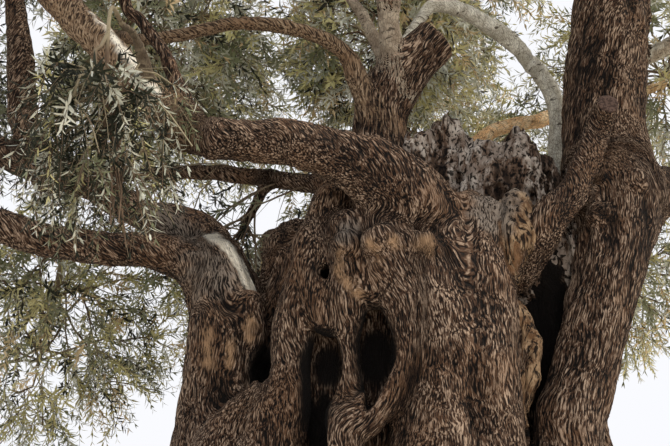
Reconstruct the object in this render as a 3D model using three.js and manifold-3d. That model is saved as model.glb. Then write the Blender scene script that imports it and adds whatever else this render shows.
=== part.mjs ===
// An old olive tree, in millimetres, +Z up. The origin is on the flat cut under the trunk, at ground
// level, and -Y is the side with the three hollows. The trunk is a bundle of rope-like ribs round a core.
// Boughs grow out of it, and each carries one mass of foliage: a stem, twigs that branch from it, and
// blades that each stand for a spray of leaves.
import * as THREE from "three";
import { mergeVertices } from "three/addons/utils/BufferGeometryUtils.js";
import Module from "manifold-3d";

const wasm = await Module();
wasm.setup();

// Colours, roughness and bareness of each kind of wood and leaf.
const FINISHES = {
  bark: { color: 0x6b4a33, roughness: 0.95, metalness: 0 },
  smooth_bark: { color: 0x8f8674, roughness: 0.85, metalness: 0 },
  dead_wood: { color: 0x6f675c, roughness: 1, metalness: 0 },
  bare_wood: { color: 0xa8794d, roughness: 0.9, metalness: 0 },
  leaves: { color: 0x66714a, roughness: 0.7, metalness: 0 },
};

// Joints between pieces.
const CLEARANCE = 0.3;
const SHORTEST_EDGE = 0.05;

// Burls and hollows larger than this have more faces.
const SMOOTH_SIZE = 75;

// The trunk's core: a lathe profile of reach and height, flattened from front to back.
const CORE_PROFILE = [
  [1020, -80],
  [900, 300],
  [760, 900],
  [660, 1500],
  [560, 1950],
  [380, 2080],
];
const CORE_FLATNESS = 0.72;
const CORE_SIDES = 14;
const CORE_SHIFT_X = -60;

// Ribs and limbs are lists of stations: x, y, z and radius. A rib's foot is below the ground cut.
const FRONT_RIBS = {
  left_flank: [
    [-860, -620, -80, 250], [-600, -520, 920, 150], [-535, -510, 1131, 122], [-515, -500, 1350, 98],
    [-490, -480, 1570, 100], [-420, -430, 1800, 104], [-310, -380, 2140, 105],
  ],
  left_sweep: [[-1180, -560, -80, 260], [-820, -430, 860, 165], [-600, -440, 1180, 110]],
  between_hollows: [
    [-400, -640, -80, 190], [-285, -610, 900, 105], [-232, -620, 1100, 72], [-226, -620, 1236, 58],
    [-232, -610, 1400, 62], [-240, -580, 1620, 96], [-235, -480, 1950, 120],
  ],
  round_the_hollow: [
    [-620, -740, -80, 230], [-300, -700, 880, 105], [-150, -710, 1049, 92], [-32, -700, 1183, 88],
    [30, -690, 1366, 96], [30, -670, 1600, 116], [-10, -620, 1830, 125], [-40, -520, 2010, 120],
  ],
  belly_left: [
    [60, -820, -80, 300],
    [170, -600, 920, 235],
    [200, -570, 1300, 235],
    [190, -540, 1700, 225],
    [150, -450, 1980, 190],
  ],
  belly_right: [
    [400, -720, -80, 270],
    [360, -560, 920, 220],
    [355, -550, 1400, 218],
    [350, -500, 1720, 215],
    [380, -400, 2010, 180],
  ],
  cleft_edge: [
    [540, -560, -80, 190],
    [480, -520, 920, 120],
    [470, -520, 1230, 105],
    [480, -500, 1640, 108],
    [540, -380, 2000, 130],
  ],
  cleft_floor: [
    [800, -150, -80, 260],
    [770, -130, 1000, 170],
    [800, -120, 1500, 160],
    [850, -110, 1900, 160],
  ],
  right_shoulder: [
    [1120, 230, -80, 320],
    [940, 160, 1000, 230],
    [930, 110, 1700, 210],
    [1010, 60, 2080, 180],
  ],
  left_apron: [
    [-400, -440, 1900, 120],
    [-370, -520, 1720, 118],
    [-345, -560, 1570, 100],
    [-335, -570, 1500, 76],
  ],
  right_apron: [[-130, -500, 1950, 120], [-120, -560, 1780, 112], [-112, -590, 1650, 92]],
  outer_lobe: [[-945, -270, 1540, 80], [-935, -285, 1400, 80], [-922, -280, 1250, 62]],
  middle_lobe: [[-822, -300, 1520, 56], [-818, -320, 1390, 60], [-810, -310, 1250, 44]],
  inner_lobe: [[-735, -260, 1620, 80], [-722, -278, 1490, 82], [-724, -270, 1380, 58]],
};

// The stem that stands against the trunk's left side, and the saddle between them.
const LEFT_STEM = [
  [-1010, -120, -80, 370], [-865, -140, 900, 262], [-862, -150, 1200, 212], [-862, -140, 1500, 200],
  [-900, -110, 1720, 176], [-950, -80, 1880, 150],
];
const SADDLE = [[-860, -20, 1560, 160], [-640, 0, 1580, 150], [-380, -60, 1760, 150]];

// Back ribs, spread evenly between two bearings.
const BACK_RIBS = {
  count: 6,
  bearings: [32, 168],
  foot: [1180, 980, 290],
  waist: [720, 600, 215],
  top: [520, 400, 170],
  waistHeight: 950,
  topHeight: 2000,
};

// Burls: x, y, z and radius.
const BURLS = [
  [-243, -600, 1858, 84],
  [-262, -620, 1735, 62],
  [-190, -620, 1630, 50],
  [-80, -690, 1862, 92],
  [-60, -690, 1745, 68],
  [48, -700, 1840, 68],
  [135, -720, 1844, 66],
  [225, -690, 1815, 54],
];

// Hollows cut in the trunk: centre, half sizes and lean in degrees from upright.
const HOLLOWS = [
  { centre: [-105, -740, 1350], half: [90, 260, 195], lean: 4 },
  { centre: [-125, -760, 1150], half: [36, 170, 90], lean: 20 },
  { centre: [-348, -700, 1305], half: [84, 240, 145], lean: -4 },
  { centre: [-375, -720, 1030], half: [42, 230, 210], lean: -8 },
  { centre: [-655, -440, 1305], half: [56, 300, 92], lean: 0 },
  { centre: [-345, -560, 1735], half: [34, 110, 40], lean: 0 },
];

// Slabs of bare wood along the deep cleft.
const BARE_SLABS = {
  upper_bare_wood: [
    [640, -330, 2160, 62],
    [630, -440, 2080, 78],
    [597, -490, 1949, 82],
    [575, -520, 1812, 52],
    [561, -530, 1720, 24],
  ],
  lower_bare_wood: [
    [590, -420, 1600, 36],
    [605, -500, 1500, 58],
    [620, -515, 1368, 74],
    [608, -520, 1225, 68],
    [560, -530, 1060, 40],
  ],
};

// The dead crest: snags that stand on the trunk's top.
const SNAGS = [
  [[160, -70, 1850, 130], [165, -60, 2293, 100], [180, -50, 2462, 84], [190, -40, 2575, 62]],
  [[340, -80, 1850, 160], [345, -60, 2293, 120], [359, -40, 2500, 84], [352, -30, 2655, 80]],
  [[510, -120, 1850, 180], [524, -100, 2252, 145], [541, -80, 2413, 120], [556, -70, 2510, 80]],
  [[680, -150, 1850, 180], [685, -120, 2246, 150], [707, -90, 2428, 125], [722, -70, 2590, 70]],
  [[840, -160, 1850, 150], [846, -120, 2189, 115], [846, -110, 2315, 98], [840, -100, 2430, 66]],
];

// Each limb: what it grows from, its stations, and its sides. The last station is its sawn end or its tip.
const LIMBS = {
  right_stem: {
    sides: 9,
    stations: [
      [700, -560, -80, 250], [792, -480, 920, 165], [856, -450, 1137, 162], [953, -420, 1381, 160],
      [1048, -380, 1637, 166], [1134, -320, 1883, 186], [1200, -200, 2125, 225], [1235, -60, 2330, 238],
    ],
  },
  right_upright: {
    sides: 9,
    stations: [
      [1260, -40, 2230, 258], [1233, 0, 2479, 240], [1245, 0, 2780, 230], [1282, 0, 3125, 222],
      [1345, 0, 3450, 215], [1400, 0, 3900, 180], [1430, 40, 4200, 140],
    ],
  },
  west_bough: {
    sides: 10,
    stations: [
      [300, -250, 1720, 190], [157, -430, 1964, 210], [76, -520, 2094, 202], [-51, -580, 2216, 178],
      [-225, -610, 2301, 138], [-475, -610, 2385, 117], [-722, -640, 2395, 104], [-916, -680, 2391, 100],
      [-1061, -705, 2434, 92],
    ],
  },
  west_arm: {
    sides: 7,
    stations: [
      [-1030, -700, 2425, 100], [-1214, -720, 2586, 88], [-1370, -730, 2758, 86],
      [-1534, -720, 2943, 84], [-1719, -690, 3138, 78], [-2150, -660, 3600, 58],
    ],
  },
  west_riser: {
    sides: 6,
    stations: [
      [-990, -690, 2440, 60], [-1102, -680, 2710, 38], [-1173, -660, 2862, 34], [-1302, -650, 3046, 32],
      [-1394, -660, 3176, 31], [-1500, -900, 3850, 28],
    ],
  },
  left_low_bough: {
    sides: 8,
    stations: [
      [-900, -90, 1700, 170], [-1020, -110, 1850, 142], [-1130, -140, 1905, 118],
      [-1300, -180, 1935, 96], [-1562, -240, 1945, 86], [-1800, -290, 1970, 86], [-2056, -350, 2045, 84],
      [-2500, -400, 2230, 70],
    ],
  },
  left_high_bough: {
    sides: 8,
    stations: [
      [-890, -20, 1780, 160], [-1023, 20, 2040, 128], [-1172, 60, 2144, 106], [-1349, 90, 2199, 88],
      [-1533, 120, 2300, 84], [-1750, 150, 2430, 90], [-2031, 190, 2525, 96], [-2288, 250, 2640, 86],
      [-2750, 450, 2950, 62],
    ],
  },
  left_upright: {
    sides: 6,
    stations: [
      [-1960, 190, 2480, 96], [-2130, 170, 2760, 84], [-2200, 180, 3200, 74], [-2330, 300, 3750, 56],
    ],
  },
  centre_stump: {
    sides: 9,
    stations: [
      [-130, 0, 1950, 210], [-57, 0, 2479, 172], [-43, 0, 2660, 156], [-12, 0, 2843, 152],
      [89, 0, 3030, 148], [197, 0, 3163, 136], [290, 0, 3262, 128],
    ],
  },
  grey_limb: {
    sides: 6,
    stations: [
      [50, -40, 2900, 76], [23, -80, 3150, 64], [7, -120, 3383, 62], [-5, -160, 3600, 58],
      [-40, -210, 4050, 52], [-120, -260, 4500, 42],
    ],
  },
  crossing_riser: {
    sides: 6,
    stations: [
      [-20, -50, 2660, 96],
      [-91, -80, 2792, 84],
      [-169, -110, 2950, 60],
      [-215, -138, 3065, 50],
    ],
  },
  crossing_limb: {
    sides: 6,
    stations: [
      [-200, -130, 3040, 46], [-270, -165, 3120, 46], [-430, -200, 3190, 42], [-638, -230, 3232, 40],
      [-876, -260, 3223, 37], [-1133, -270, 3157, 34], [-1400, -150, 3180, 33], [-1600, 100, 3330, 30],
    ],
  },
  slim_limb: {
    sides: 6,
    stations: [
      [10, -40, 3040, 44], [-103, 50, 3374, 36], [-197, 120, 3577, 33], [-320, 240, 3850, 31],
      [-520, 450, 4300, 28],
    ],
  },
  pale_riser: {
    sides: 7,
    stations: [
      [950, 150, 1900, 70],
      [1031, 300, 2580, 56],
      [1056, 320, 2811, 53],
      [1039, 340, 3048, 51],
      [950, 338, 3225, 52],
    ],
  },
  pale_arch: {
    sides: 6,
    stations: [
      [925, 335, 3240, 50], [860, 325, 3330, 50], [771, 300, 3413, 50], [589, 260, 3522, 47],
      [412, 220, 3590, 43], [284, 180, 3555, 38], [190, 150, 3420, 32],
    ],
  },
  orange_limb: {
    sides: 6,
    stations: [
      [300, 180, 1950, 70], [390, 260, 2450, 50], [439, 300, 2612, 46], [604, 320, 2766, 46],
      [752, 360, 2851, 46], [960, 450, 2920, 46], [1104, 620, 3015, 46], [1500, 950, 3200, 44],
      [1950, 1300, 3480, 38],
    ],
  },
  sawn_limb: {
    sides: 7,
    stations: [
      [620, -330, 1780, 110], [762, -480, 2006, 98], [864, -475, 2126, 84], [947, -455, 2238, 73],
      [1026, -430, 2406, 67], [1073, -425, 2530, 65], [1095, -480, 2600, 62], [1100, -560, 2625, 56],
    ],
  },
  side_limb: {
    sides: 6,
    stations: [
      [1330, 0, 3060, 70], [1505, 0, 3137, 50], [1650, -40, 3200, 46], [2000, -120, 3380, 42],
      [2500, -220, 3600, 36],
    ],
  },
  east_low_bough: {
    sides: 7,
    stations: [
      [1230, -60, 2200, 210], [1480, 60, 2330, 165], [1750, 180, 2400, 115], [2100, 350, 2490, 84],
      [2450, 470, 2540, 60],
    ],
  },
  left_fork: {
    sides: 6,
    stations: [[1415, 30, 4090, 112], [1250, 150, 4500, 78], [1050, 350, 4900, 52]],
  },
  right_fork: {
    sides: 6,
    stations: [[1445, 30, 4090, 112], [1700, 60, 4450, 78], [1980, 100, 4780, 52]],
  },
  front_right_limb: {
    sides: 6,
    stations: [[1380, -20, 3600, 88], [1550, -500, 3950, 64], [1750, -1150, 4320, 42]],
  },
  front_limb: {
    sides: 6,
    stations: [[20, -140, 3420, 56], [90, -600, 3950, 46], [170, -1200, 4480, 36]],
  },
  back_left_bough: {
    sides: 6,
    stations: [
      [-150, 250, 1950, 110], [-300, 650, 2520, 70], [-600, 850, 2650, 60], [-1200, 1050, 2780, 52],
      [-1850, 1500, 2900, 42],
    ],
  },
  back_high_bough: {
    sides: 6,
    stations: [
      [-50, 250, 1950, 140],
      [-100, 900, 2800, 88],
      [-450, 1350, 3150, 70],
      [-1000, 1800, 3350, 58],
      [-1350, 2100, 3600, 46],
    ],
  },
  back_bough: {
    sides: 6,
    stations: [
      [100, 250, 1900, 150],
      [160, 1000, 2700, 98],
      [180, 1600, 3100, 72],
      [150, 2250, 3320, 50],
    ],
  },
  back_top_limb: {
    sides: 6,
    stations: [[165, 1150, 2820, 70], [200, 1400, 3500, 54], [280, 1700, 4420, 40]],
  },
  back_low_bough: {
    sides: 6,
    stations: [
      [-350, 250, 1700, 120],
      [-520, 900, 2200, 86],
      [-760, 1600, 2450, 64],
      [-880, 2250, 2450, 46],
    ],
  },
  back_right_bough: {
    sides: 6,
    stations: [
      [420, 200, 1850, 140],
      [800, 900, 2400, 92],
      [1200, 1500, 2700, 70],
      [1480, 2100, 2800, 50],
    ],
  },
  weeping_limb: {
    sides: 6,
    stations: [[-1211, -750, 2642, 42], [-1235, -1000, 2770, 22], [-1240, -1260, 2710, 16]],
  },
  hanging_limb: {
    sides: 6,
    stations: [[-735, 890, 2680, 50], [-775, 880, 2600, 38], [-850, 860, 2435, 33], [-925, 850, 2270, 24]],
  },
};

const PALE_LIMBS = [
  "grey_limb",
  "pale_riser",
  "pale_arch",
  "orange_limb",
  "slim_limb",
  "side_limb",
  "weeping_limb",
];

// Each mass of foliage: the limb whose tip it hangs on, its space's middle and that space's half sizes.
const MASSES = {
  leaves_west_low: { limb: "left_low_bough", centre: [-3150, -500, 2300], half: [950, 850, 800] },
  leaves_west: { limb: "left_high_bough", centre: [-3300, 950, 3300], half: [1000, 1000, 950], twigs: 5 },
  leaves_west_high: { limb: "left_upright", centre: [-2650, 400, 4550], half: [950, 900, 850], twigs: 5 },
  leaves_west_arm: { limb: "west_arm", centre: [-2850, -1050, 4150], half: [950, 900, 800], twigs: 5 },
  leaves_front_left: { limb: "west_riser", centre: [-1650, -1750, 4650], half: [1000, 950, 800], twigs: 5 },
  leaves_weeping: { limb: "weeping_limb", centre: [-1235, -1450, 2150], half: [430, 340, 570], twigs: 4 },
  leaves_crossing: { limb: "crossing_limb", centre: [-1500, 750, 3650], half: [850, 750, 800], twigs: 5 },
  leaves_crown_centre: { limb: "grey_limb", centre: [-200, -450, 5450], half: [1100, 1050, 900], twigs: 5 },
  leaves_crown_left: { limb: "slim_limb", centre: [-1050, 950, 5200], half: [1050, 1000, 900], twigs: 5 },
  leaves_crown_right: { limb: "left_fork", centre: [900, 700, 5650], half: [1050, 1000, 850], twigs: 4 },
  leaves_east_high: { limb: "right_fork", centre: [2400, 100, 5200], half: [1050, 1050, 900], twigs: 5 },
  leaves_east: { limb: "side_limb", centre: [3150, -400, 3800], half: [1000, 1000, 950], twigs: 5 },
  leaves_east_low: { limb: "east_low_bough", centre: [3050, 800, 2450], half: [950, 950, 850], twigs: 5 },
  leaves_northeast: { limb: "orange_limb", centre: [2350, 1900, 3850], half: [1200, 1050, 1050] },
  leaves_behind_stump: { limb: "pale_arch", centre: [50, 950, 3700], half: [850, 650, 750], twigs: 4 },
  leaves_northwest_low: { limb: "back_left_bough", centre: [-2500, 2150, 2000], half: [1150, 1000, 1150] },
  leaves_northwest: { limb: "back_high_bough", centre: [-1700, 2750, 4100], half: [1300, 1150, 1100] },
  leaves_north: { limb: "back_bough", centre: [450, 3050, 3550], half: [1420, 1050, 1200] },
  leaves_north_low: { limb: "back_low_bough", centre: [-850, 3000, 2050], half: [1050, 950, 950] },
  leaves_north_top: { limb: "back_top_limb", centre: [450, 2200, 5150], half: [1300, 1150, 1000] },
  leaves_northeast_low: { limb: "back_right_bough", centre: [1900, 2800, 2550], half: [1200, 1000, 1050] },
  leaves_front: { limb: "front_limb", centre: [250, -2000, 4950], half: [1050, 950, 800], twigs: 5 },
  leaves_front_right: {
    limb: "front_right_limb",
    centre: [2000, -1950, 4700],
    half: [1050, 1000, 800],
    twigs: 5,
  },
};

// How a mass of foliage grows. Lengths are in millimetres, shares run from 0 to 1.
const GROWTH = {
  seed: 100,
  twigs: 6,
  sideBlades: [2, 1],
  bladePlaces: [0.55, 0.95],
  tries: 5,
  stemReach: 0.4,
  stemTip: 13,
  twigRadius: 11,
  twigTip: 6,
  twigReach: 0.97,
  reachStep: 0.11,
  twigLift: 0.1,
  sprayLength: [360, 480],
  shortestSpray: 0.6,
  sprayWidth: 0.3,
  sprayThickness: 0.06,
  sprayWidest: 0.42,
  splay: 0.8,
  droop: 0.35,
  margin: 0.03,
  limbGap: 25,
  rootDepth: 0.7,
};
const GOLDEN_ANGLE = Math.PI * (3 - Math.sqrt(5));
const UP = new THREE.Vector3(0, 0, 1);
const TWIG_SIDES = 3;

// A stream of numbers from 0 to 1 that a seed repeats.
function seededNumbers(seed) {
  let state = seed >>> 0;
  return () => {
    state = (state + 0x6d2b79f5) >>> 0;
    let mixed = Math.imul(state ^ (state >>> 15), state | 1);
    mixed ^= mixed + Math.imul(mixed ^ (mixed >>> 7), mixed | 61);
    return ((mixed ^ (mixed >>> 14)) >>> 0) / 2 ** 32;
  };
}

// A closed manifold solid from a geometry whose seams are open only where vertices are doubled.
function solidFrom(geometry) {
  const bare = new THREE.BufferGeometry().setAttribute("position", geometry.getAttribute("position"));
  if (geometry.index) bare.setIndex(geometry.index);
  const merged = mergeVertices(bare, 1e-3);
  const vertProperties = merged.attributes.position.array;
  const triVerts = new Uint32Array(merged.index.array);
  return new wasm.Manifold(new wasm.Mesh({ numProp: 3, vertProperties, triVerts }));
}

// The geometry of a manifold solid.
function geometryFrom(solid) {
  const mesh = solid.getMesh();
  const positions = new Float32Array(mesh.numVert * 3);
  for (let i = 0; i < mesh.numVert; i++) {
    positions.set(mesh.vertProperties.subarray(i * mesh.numProp, i * mesh.numProp + 3), i * 3);
  }
  const geometry = new THREE.BufferGeometry();
  geometry.setAttribute("position", new THREE.BufferAttribute(positions, 3));
  geometry.setIndex(new THREE.BufferAttribute(new Uint32Array(mesh.triVerts), 1));
  geometry.computeVertexNormals();
  return geometry;
}

// The largest body of a solid, without its shortest edges, as a mesh stores it.
function largestBody(solid) {
  let bodies = solid.decompose();
  do {
    const [largest] = bodies.sort((a, b) => b.volume() - a.volume());
    bodies = solidFrom(geometryFrom(largest.simplify(SHORTEST_EDGE))).decompose();
  } while (bodies.length > 1);
  return bodies[0];
}

const joined = (solids) => solids.reduce((whole, solid) => whole.add(solid));

const curveThrough = (places) => new THREE.CatmullRomCurve3(places, false, "catmullrom");
const axisOf = (stations) => curveThrough(stations.map(([x, y, z]) => new THREE.Vector3(x, y, z)));

// A tapering round limb through its stations, grown outwards by clearance, with ends square to its axis.
function limbSolid(stations, sides, stepsPerStation, clearance = 0) {
  const axis = axisOf(stations);
  const spans = stations.length - 1;
  const rings = spans * stepsPerStation;
  const positions = [];
  const across = new THREE.Vector3();
  let previous = axis.getTangent(0);
  const sideways = Math.abs(previous.z) < 0.9 ? new THREE.Vector3(0, 0, 1) : new THREE.Vector3(1, 0, 0);
  across.crossVectors(sideways, previous).normalize();
  for (let ring = 0; ring <= rings; ring++) {
    const along = ring / rings;
    const tangent = axis.getTangent(along);
    across.applyQuaternion(new THREE.Quaternion().setFromUnitVectors(previous, tangent));
    previous = tangent;
    const up = new THREE.Vector3().crossVectors(tangent, across);
    const span = Math.min(Math.floor(along * spans), spans - 1);
    const share = along * spans - span;
    const radius = stations[span][3] * (1 - share) + stations[span + 1][3] * share + clearance;
    const middle = axis.getPoint(along);
    if (ring === 0) middle.addScaledVector(tangent, -clearance);
    if (ring === rings) middle.addScaledVector(tangent, clearance);
    for (let side = 0; side < sides; side++) {
      const turn = (2 * Math.PI * side) / sides;
      const point = middle.clone();
      point.addScaledVector(across, radius * Math.cos(turn)).addScaledVector(up, radius * Math.sin(turn));
      positions.push(point.x, point.y, point.z);
    }
  }
  return solidFrom(loftGeometry(positions, sides, rings));
}

// Skins rings of points into a closed geometry, with a fan across each end.
function loftGeometry(positions, sides, rings) {
  const faces = [];
  for (let ring = 0; ring < rings; ring++) {
    for (let side = 0; side < sides; side++) {
      const next = (side + 1) % sides;
      const [a, b] = [ring * sides + side, ring * sides + next];
      const [c, d] = [a + sides, b + sides];
      faces.push(a, b, d, a, d, c);
    }
  }
  const last = rings * sides;
  for (let side = 1; side < sides - 1; side++) {
    faces.push(0, side + 1, side);
    faces.push(last, last + side, last + side + 1);
  }
  const geometry = new THREE.BufferGeometry();
  geometry.setAttribute("position", new THREE.BufferAttribute(new Float32Array(positions), 3));
  geometry.setIndex(faces);
  return geometry;
}

// An egg-shaped solid, leaning sideways.
function eggSolid([x, y, z], [halfX, halfY, halfZ], leanDegrees, detail) {
  const egg = new THREE.IcosahedronGeometry(1, detail);
  egg.scale(halfX, halfY, halfZ).rotateY(THREE.MathUtils.degToRad(leanDegrees)).translate(x, y, z);
  return solidFrom(egg);
}

// The trunk's core, turned round the vertical and flattened.
function coreSolid(clearance) {
  const outline = CORE_PROFILE.map(([reach, height]) => new THREE.Vector2(reach + clearance, height));
  const [bottom, top] = [outline[0], outline.at(-1)];
  outline.unshift(new THREE.Vector2(0, bottom.y));
  outline.push(new THREE.Vector2(0, top.y + clearance));
  const core = new THREE.LatheGeometry(outline, CORE_SIDES).rotateX(Math.PI / 2);
  core.scale(1, CORE_FLATNESS, 1).translate(CORE_SHIFT_X, 0, 0);
  return solidFrom(core);
}

// The back ribs, from a wide foot to a narrower top.
function backRibs() {
  const { count, bearings, foot, waist, top, waistHeight, topHeight } = BACK_RIBS;
  const station = (bearing, [reachX, reachY, radius], height) => [
    reachX * Math.cos(bearing),
    reachY * Math.sin(bearing),
    height,
    radius,
  ];
  return Array.from({ length: count }, (_, i) => {
    const degrees = THREE.MathUtils.lerp(bearings[0], bearings[1], i / (count - 1));
    const bearing = THREE.MathUtils.degToRad(degrees);
    return [
      station(bearing, foot, -80),
      station(bearing, waist, waistHeight),
      station(bearing, top, topHeight),
    ];
  });
}

// What lies below the ground cut.
function belowGround() {
  const block = new THREE.BoxGeometry(6000, 6000, 1000).translate(0, 0, -500);
  return solidFrom(block);
}

function trunkSolid(clearance = 0) {
  const ribStations = [...Object.values(FRONT_RIBS), ...backRibs()];
  const ribs = ribStations.map((stations) => limbSolid(stations, 7, 1, clearance));
  const stem = limbSolid(LEFT_STEM, 10, 1, clearance);
  const saddle = limbSolid(SADDLE, 8, 1, clearance);
  const detail = (size) => (size > SMOOTH_SIZE ? 1 : 0);
  const burls = BURLS.map(([x, y, z, radius]) =>
    eggSolid([x, y, z], Array(3).fill(radius + clearance), 0, detail(radius)),
  );
  const hollows = HOLLOWS.map(({ centre, half, lean }) =>
    eggSolid(centre, half.map((size) => size - clearance), lean, detail(half[0])),
  );
  return joined([coreSolid(clearance), stem, saddle, ...ribs]).subtract(joined(hollows)).add(joined(burls));
}

const crestSolid = (clearance = 0) => joined(SNAGS.map((stations) => limbSolid(stations, 7, 1, clearance)));

// Every limb's axis as short balls, for keeping foliage off the wood.
function limbBalls() {
  const perSpan = 6;
  return Object.values(LIMBS).flatMap(({ stations }) => {
    const axis = axisOf(stations);
    const spans = stations.length - 1;
    return Array.from({ length: spans * perSpan + 1 }, (_, i) => {
      const span = Math.min(Math.floor(i / perSpan), spans - 1);
      const share = i / perSpan - span;
      const radius = stations[span][3] * (1 - share) + stations[span + 1][3] * share;
      return { middle: axis.getPoint(i / (spans * perSpan)), radius };
    });
  });
}

// How far a place is from the middle of a mass, as a share of the mass's half sizes.
function shareOut(place, { centre, half }) {
  const shares = [place.x, place.y, place.z].map((value, axis) => (value - centre[axis]) / half[axis]);
  return Math.hypot(...shares);
}

// True where a place lies in a mass's own space, nearer to its middle than to any other mass's.
function ownSpace(place, mass) {
  const out = shareOut(place, mass);
  if (out > 1) return false;
  const others = Object.values(MASSES).filter((other) => other !== mass);
  return others.every((other) => shareOut(place, other) > out + GROWTH.margin);
}

// The three corners of a twig or a blade where it is cut across: broad is its width and deep its thickness.
function crossCorners(place, { across, face }, broad, deep) {
  const right = place.clone().addScaledVector(across, broad / 2);
  const left = place.clone().addScaledVector(across, -broad / 2);
  const top = place.clone().addScaledVector(face, deep);
  return [right, top, left];
}

// A closed solid through rings of three corners, with a point at its far end and a point or a flat at its
// near end.
function pointedSolid(root, rings, tip) {
  const places = [...rings.flat(), tip];
  const last = places.length - 1;
  const faces = [];
  rings.slice(1).forEach((_, ring) => {
    for (let side = 0; side < TWIG_SIDES; side++) {
      const [a, b] = [ring * TWIG_SIDES + side, ring * TWIG_SIDES + ((side + 1) % TWIG_SIDES)];
      faces.push(a, b, b + TWIG_SIDES, a, b + TWIG_SIDES, a + TWIG_SIDES);
    }
  });
  for (let side = 0; side < TWIG_SIDES; side++) {
    const next = (side + 1) % TWIG_SIDES;
    faces.push(last, last - TWIG_SIDES + side, last - TWIG_SIDES + next);
    if (root) faces.push(last + 1, next, side);
  }
  if (root) places.push(root);
  else faces.push(0, 2, 1);
  const corners = new Float32Array(places.flatMap((place) => place.toArray()));
  const geometry = new THREE.BufferGeometry();
  geometry.setAttribute("position", new THREE.BufferAttribute(corners, 3));
  geometry.setIndex(faces);
  return solidFrom(geometry);
}

// The width and thickness of a blade at its widest, and the place of that.
function bladeMiddle({ root, along, length }) {
  const widest = root.clone().addScaledVector(along, length * GROWTH.sprayWidest);
  return [widest, length * GROWTH.sprayWidth, length * GROWTH.sprayThickness];
}

// The corners of a blade that decide whether it fits in its space.
function bladeCorners(blade) {
  const [widest, broad, deep] = bladeMiddle(blade);
  const tip = blade.root.clone().addScaledVector(blade.along, blade.length);
  const beforeTip = blade.root.clone().addScaledVector(blade.along, blade.length * 0.7);
  return [tip, beforeTip, ...crossCorners(widest, blade, broad, deep)];
}

// A flat blade, pointed at both ends.
function bladeSolid(blade) {
  const [widest, broad, deep] = bladeMiddle(blade);
  const tip = blade.root.clone().addScaledVector(blade.along, blade.length);
  return pointedSolid(blade.root, [crossCorners(widest, blade, broad, deep)], tip);
}

// A twig that ends in a blade.
function twigSolid(places, radii, blade) {
  const [widest, broad, deep] = bladeMiddle(blade);
  const rings = places.map((place, i) => {
    const middle = place.clone().addScaledVector(blade.face, -radii[i] / 2);
    return crossCorners(middle, blade, radii[i] * 1.73, radii[i] * 1.5);
  });
  const tip = blade.root.clone().addScaledVector(blade.along, blade.length);
  return pointedSolid(null, [...rings, crossCorners(widest, blade, broad, deep)], tip);
}

// A blade's own directions: along it, across it, and out of its face, which looks outward as far as it can.
function bladeAt(root, along, outward, turn, length) {
  const across = new THREE.Vector3().crossVectors(outward, along);
  if (across.length() < 0.2) across.crossVectors(UP, along);
  across.normalize().applyAxisAngle(along, turn);
  return { root, along, across, face: new THREE.Vector3().crossVectors(along, across), length };
}

// Where a limb ends and the way it points there.
function limbTip({ stations }) {
  const axis = axisOf(stations);
  return { end: axis.getPoint(1), heading: axis.getTangent(1), radius: stations.at(-1)[3] };
}

// A blade on a twig's side, sunk into the twig.
function sideBlade({ place, onward, outward, order, shrink, random }) {
  const between = (low, high) => low + (high - low) * random();
  const sideways = new THREE.Vector3().crossVectors(onward, UP).normalize();
  sideways.applyAxisAngle(onward, order * Math.PI + between(-0.9, 0.9));
  const along = onward.clone().addScaledVector(sideways, GROWTH.splay);
  along.z -= GROWTH.droop * random();
  along.normalize();
  const root = place.clone().addScaledVector(along, -GROWTH.twigTip * GROWTH.rootDepth);
  return bladeAt(root, along, outward, between(-0.6, 0.6), between(...GROWTH.sprayLength) * shrink);
}

// The stem of a mass: from its limb's tip by way of an elbow into the mass's middle and on.
function massStem(mass) {
  const { end, heading, radius } = limbTip(LIMBS[mass.limb]);
  const centre = new THREE.Vector3(...mass.centre);
  const start = end.clone().addScaledVector(heading, CLEARANCE);
  const elbow = start.clone().addScaledVector(heading, 0.35 * start.distanceTo(centre));
  const onward = centre.clone().sub(elbow).normalize();
  const stemEnd = centre.clone().addScaledVector(onward, GROWTH.stemReach * mass.half[2]);
  const radii = [radius * 0.9, radius * 0.7, (radius * 0.6 + GROWTH.stemTip) / 2, GROWTH.stemTip];
  const stations = [start, elbow, centre, stemEnd].map((place, i) => [...place.toArray(), radii[i]]);
  return { centre, stemEnd, stations };
}

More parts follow.
